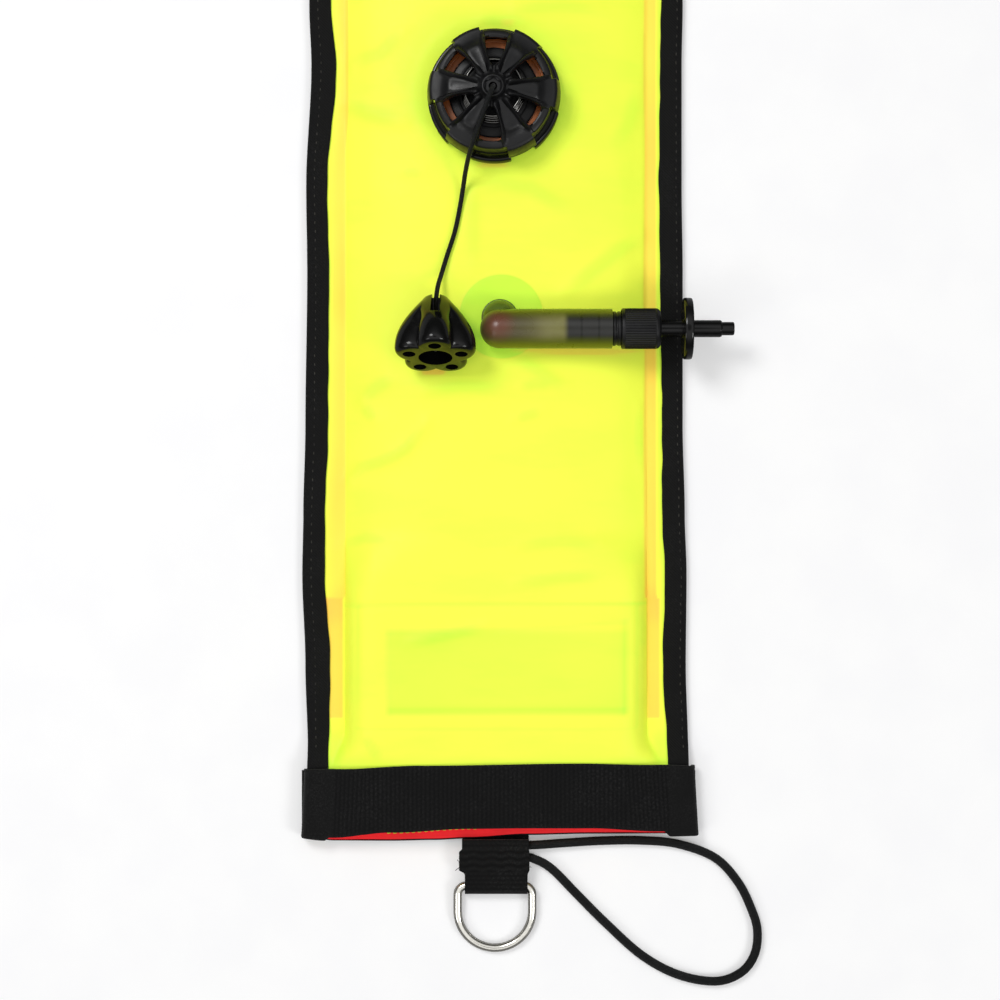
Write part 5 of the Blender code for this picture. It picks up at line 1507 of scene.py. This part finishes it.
def knot_mesh():
    """The cord's stopper knot in the knob's mouth, in three twisted strands."""

    def strands(radius, height, angle):
        twist = math.cos(3 * angle + height * 1400)
        return radius * (1.0 - 0.10 * twist) if radius > 0.001 else radius

    return turned_mesh(KNOT_PROFILE, KNOB_PLACE, 48, 0.5, strands)


# The inflator. Its pieces turn about an axis along X, with heights measured along X from the hose's start
# or, for those in it, from the insert's start.

INSERT_PROFILE = (
    (4.4, 0.0), (5.4, 0.0), (5.4, 5.2), (5.65, 5.45), (5.65, 5.9), (5.4, 6.7), (5.4, 11.7),
    (5.65, 11.95), (5.65, 12.4), (5.4, 13.2), (5.4, 17.2), (6.5, 17.2), (6.5, 18.1), (6.15, 18.3),
    (6.15, 18.8), (6.5, 19.0), (6.5, 20.1), (6.0, 20.1), (6.0, 31.2), (3.5, 31.2), (3.5, 19.13),
    (4.4, 19.13), (4.4, 5.7), (2.9, 5.7), (2.9, 4.2), (4.4, 4.2),
)
NUT_PROFILE = (
    (7.3, 20.4), (7.45, 20.4), (7.65, 21.0), (7.65, 21.6), (7.65, 21.9), (7.65, 25.0), (7.65, 29.0),
    (7.65, 32.8), (7.65, 33.1), (7.65, 33.6), (7.2, 34.5), (6.4, 35.1), (3.5, 35.1), (3.5, 33.9),
    (6.3, 33.9), (6.3, 22.3), (7.3, 22.3),
)
STEM_PROFILE = (
    (0.0, 1.0), (1.6, 1.0), (1.6, 1.9), (1.0, 1.9), (1.0, 4.2), (1.9, 4.2), (1.9, 17.2), (3.2, 17.2),
    (3.2, 57.6), (2.9, 58.1), (2.5, 58.1), (2.5, 62.4), (2.2, 62.8), (1.8, 62.8), (1.8, 21.0), (0.0, 21.0),
)
DISC_PROFILE = (
    (3.3, 43.6), (9.6, 43.6), (10.0, 43.8), (10.4, 43.6), (11.6, 43.6), (11.6, 46.9), (10.2, 46.9),
    (9.7, 46.5), (5.2, 46.5), (4.6, 46.9), (3.3, 46.9),
)
# Heights of the hose's foot and of the middle of its bend, and the grips round the nut.
GROUND = PANEL_Z * 1000 + 0.3
BEND = HOSE_Z * 1000 - 4.25
GRIPS = 52


def along_hose(start):
    return Matrix.Translation((start, HOSE_Y, HOSE_Z)) @ Matrix.Rotation(math.pi / 2, 4, "Y")


def ball_end(radius, high):
    """Profile of a rod that starts as a half ball about the height 0."""
    arc = [math.pi / 2 * k / 13 for k in range(14)]
    profile = [(radius * math.sin(a), -radius * math.cos(a)) for a in arc]
    return [(0.0, profile[0][1])] + profile[1:] + [(radius, high), (0.0, high)]


def upright(radius, low):
    """Profile of a rod that ends as a half ball in the hose's bend."""
    arc = [math.pi / 2 * k / 11 for k in range(11)]
    rise = [(radius * math.cos(a), BEND + radius * math.sin(a)) for a in arc]
    return [(0.0, low), (radius, low)] + rise + [(0.0, BEND + radius)]


def elbow_mesh():
    lying = along_hose(LEG[0])
    standing = Matrix.Translation((*LEG, 0.0))
    leg = turned_mesh(upright(6.4, GROUND), standing, 64)
    foot = turned_mesh(bar(GROUND, GROUND + 0.7, 7.0), standing, 64, 0.3)
    mesh = combined(turned_mesh(ball_end(7.45, 42.2), lying, 80), [leg, foot], "UNION")
    bore = turned_mesh(ball_end(5.95, 60.0), lying, 64)
    well = turned_mesh(upright(4.9, GROUND - 6.0), standing, 48)
    return combined(mesh, [bore, well], "DIFFERENCE")


def knurl(radius, height, angle):
    """The nut's radius, with grips over the middle of its outer face."""
    held = 0.00022 if radius > 0.0076 and 0.0216 < height < 0.0331 else 0.0
    return radius - held * (0.5 + 0.5 * math.cos(GRIPS * angle)) ** 0.7


def build_inflator():
    piece("hose_elbow", elbow_mesh(), "smoky_hose", "inflator_elbow", sharp=50)
    place = along_hose(INSERT_X)
    mesh = turned_mesh(INSERT_PROFILE, place, 72, 0.12)
    piece("hose_insert", mesh, "valve_black", "inflator_body", sharp=40)
    mesh = turned_mesh(NUT_PROFILE, place, 8 * GRIPS, 0.14, knurl)
    piece("knurled_nut", mesh, "valve_black", "inflator_lock_nut", body="nut", sharp=40)
    mesh = turned_mesh(STEM_PROFILE, place, 64, 0.2)
    piece("push_stem", mesh, "gloss_black", "inflator_stem", body="stem", sharp=40)
    mesh = turned_mesh(DISC_PROFILE, place, 96, 1.1)
    piece("push_disc", mesh, "gloss_black", "inflator_disc", body="stem", sharp=40)
    mesh = coil_mesh(place, 6.0, 16.9, 3.15, 3.15, 5, 0.7)
    coil = piece("push_coil", mesh, "stainless_steel", "inflator_spring")
    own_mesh(coil)


dress_nodes()
build_camera()
build_floor()
build_room()
build_bungee()
build_pull()
build_dump_valve()
build_inflator()
build_front()
build_back()
build_inside()
build_tapes()
build_edge_stitches()
build_bands()
build_tab()
build_mouth_stitches()
build_tab_threads()
build_ring()
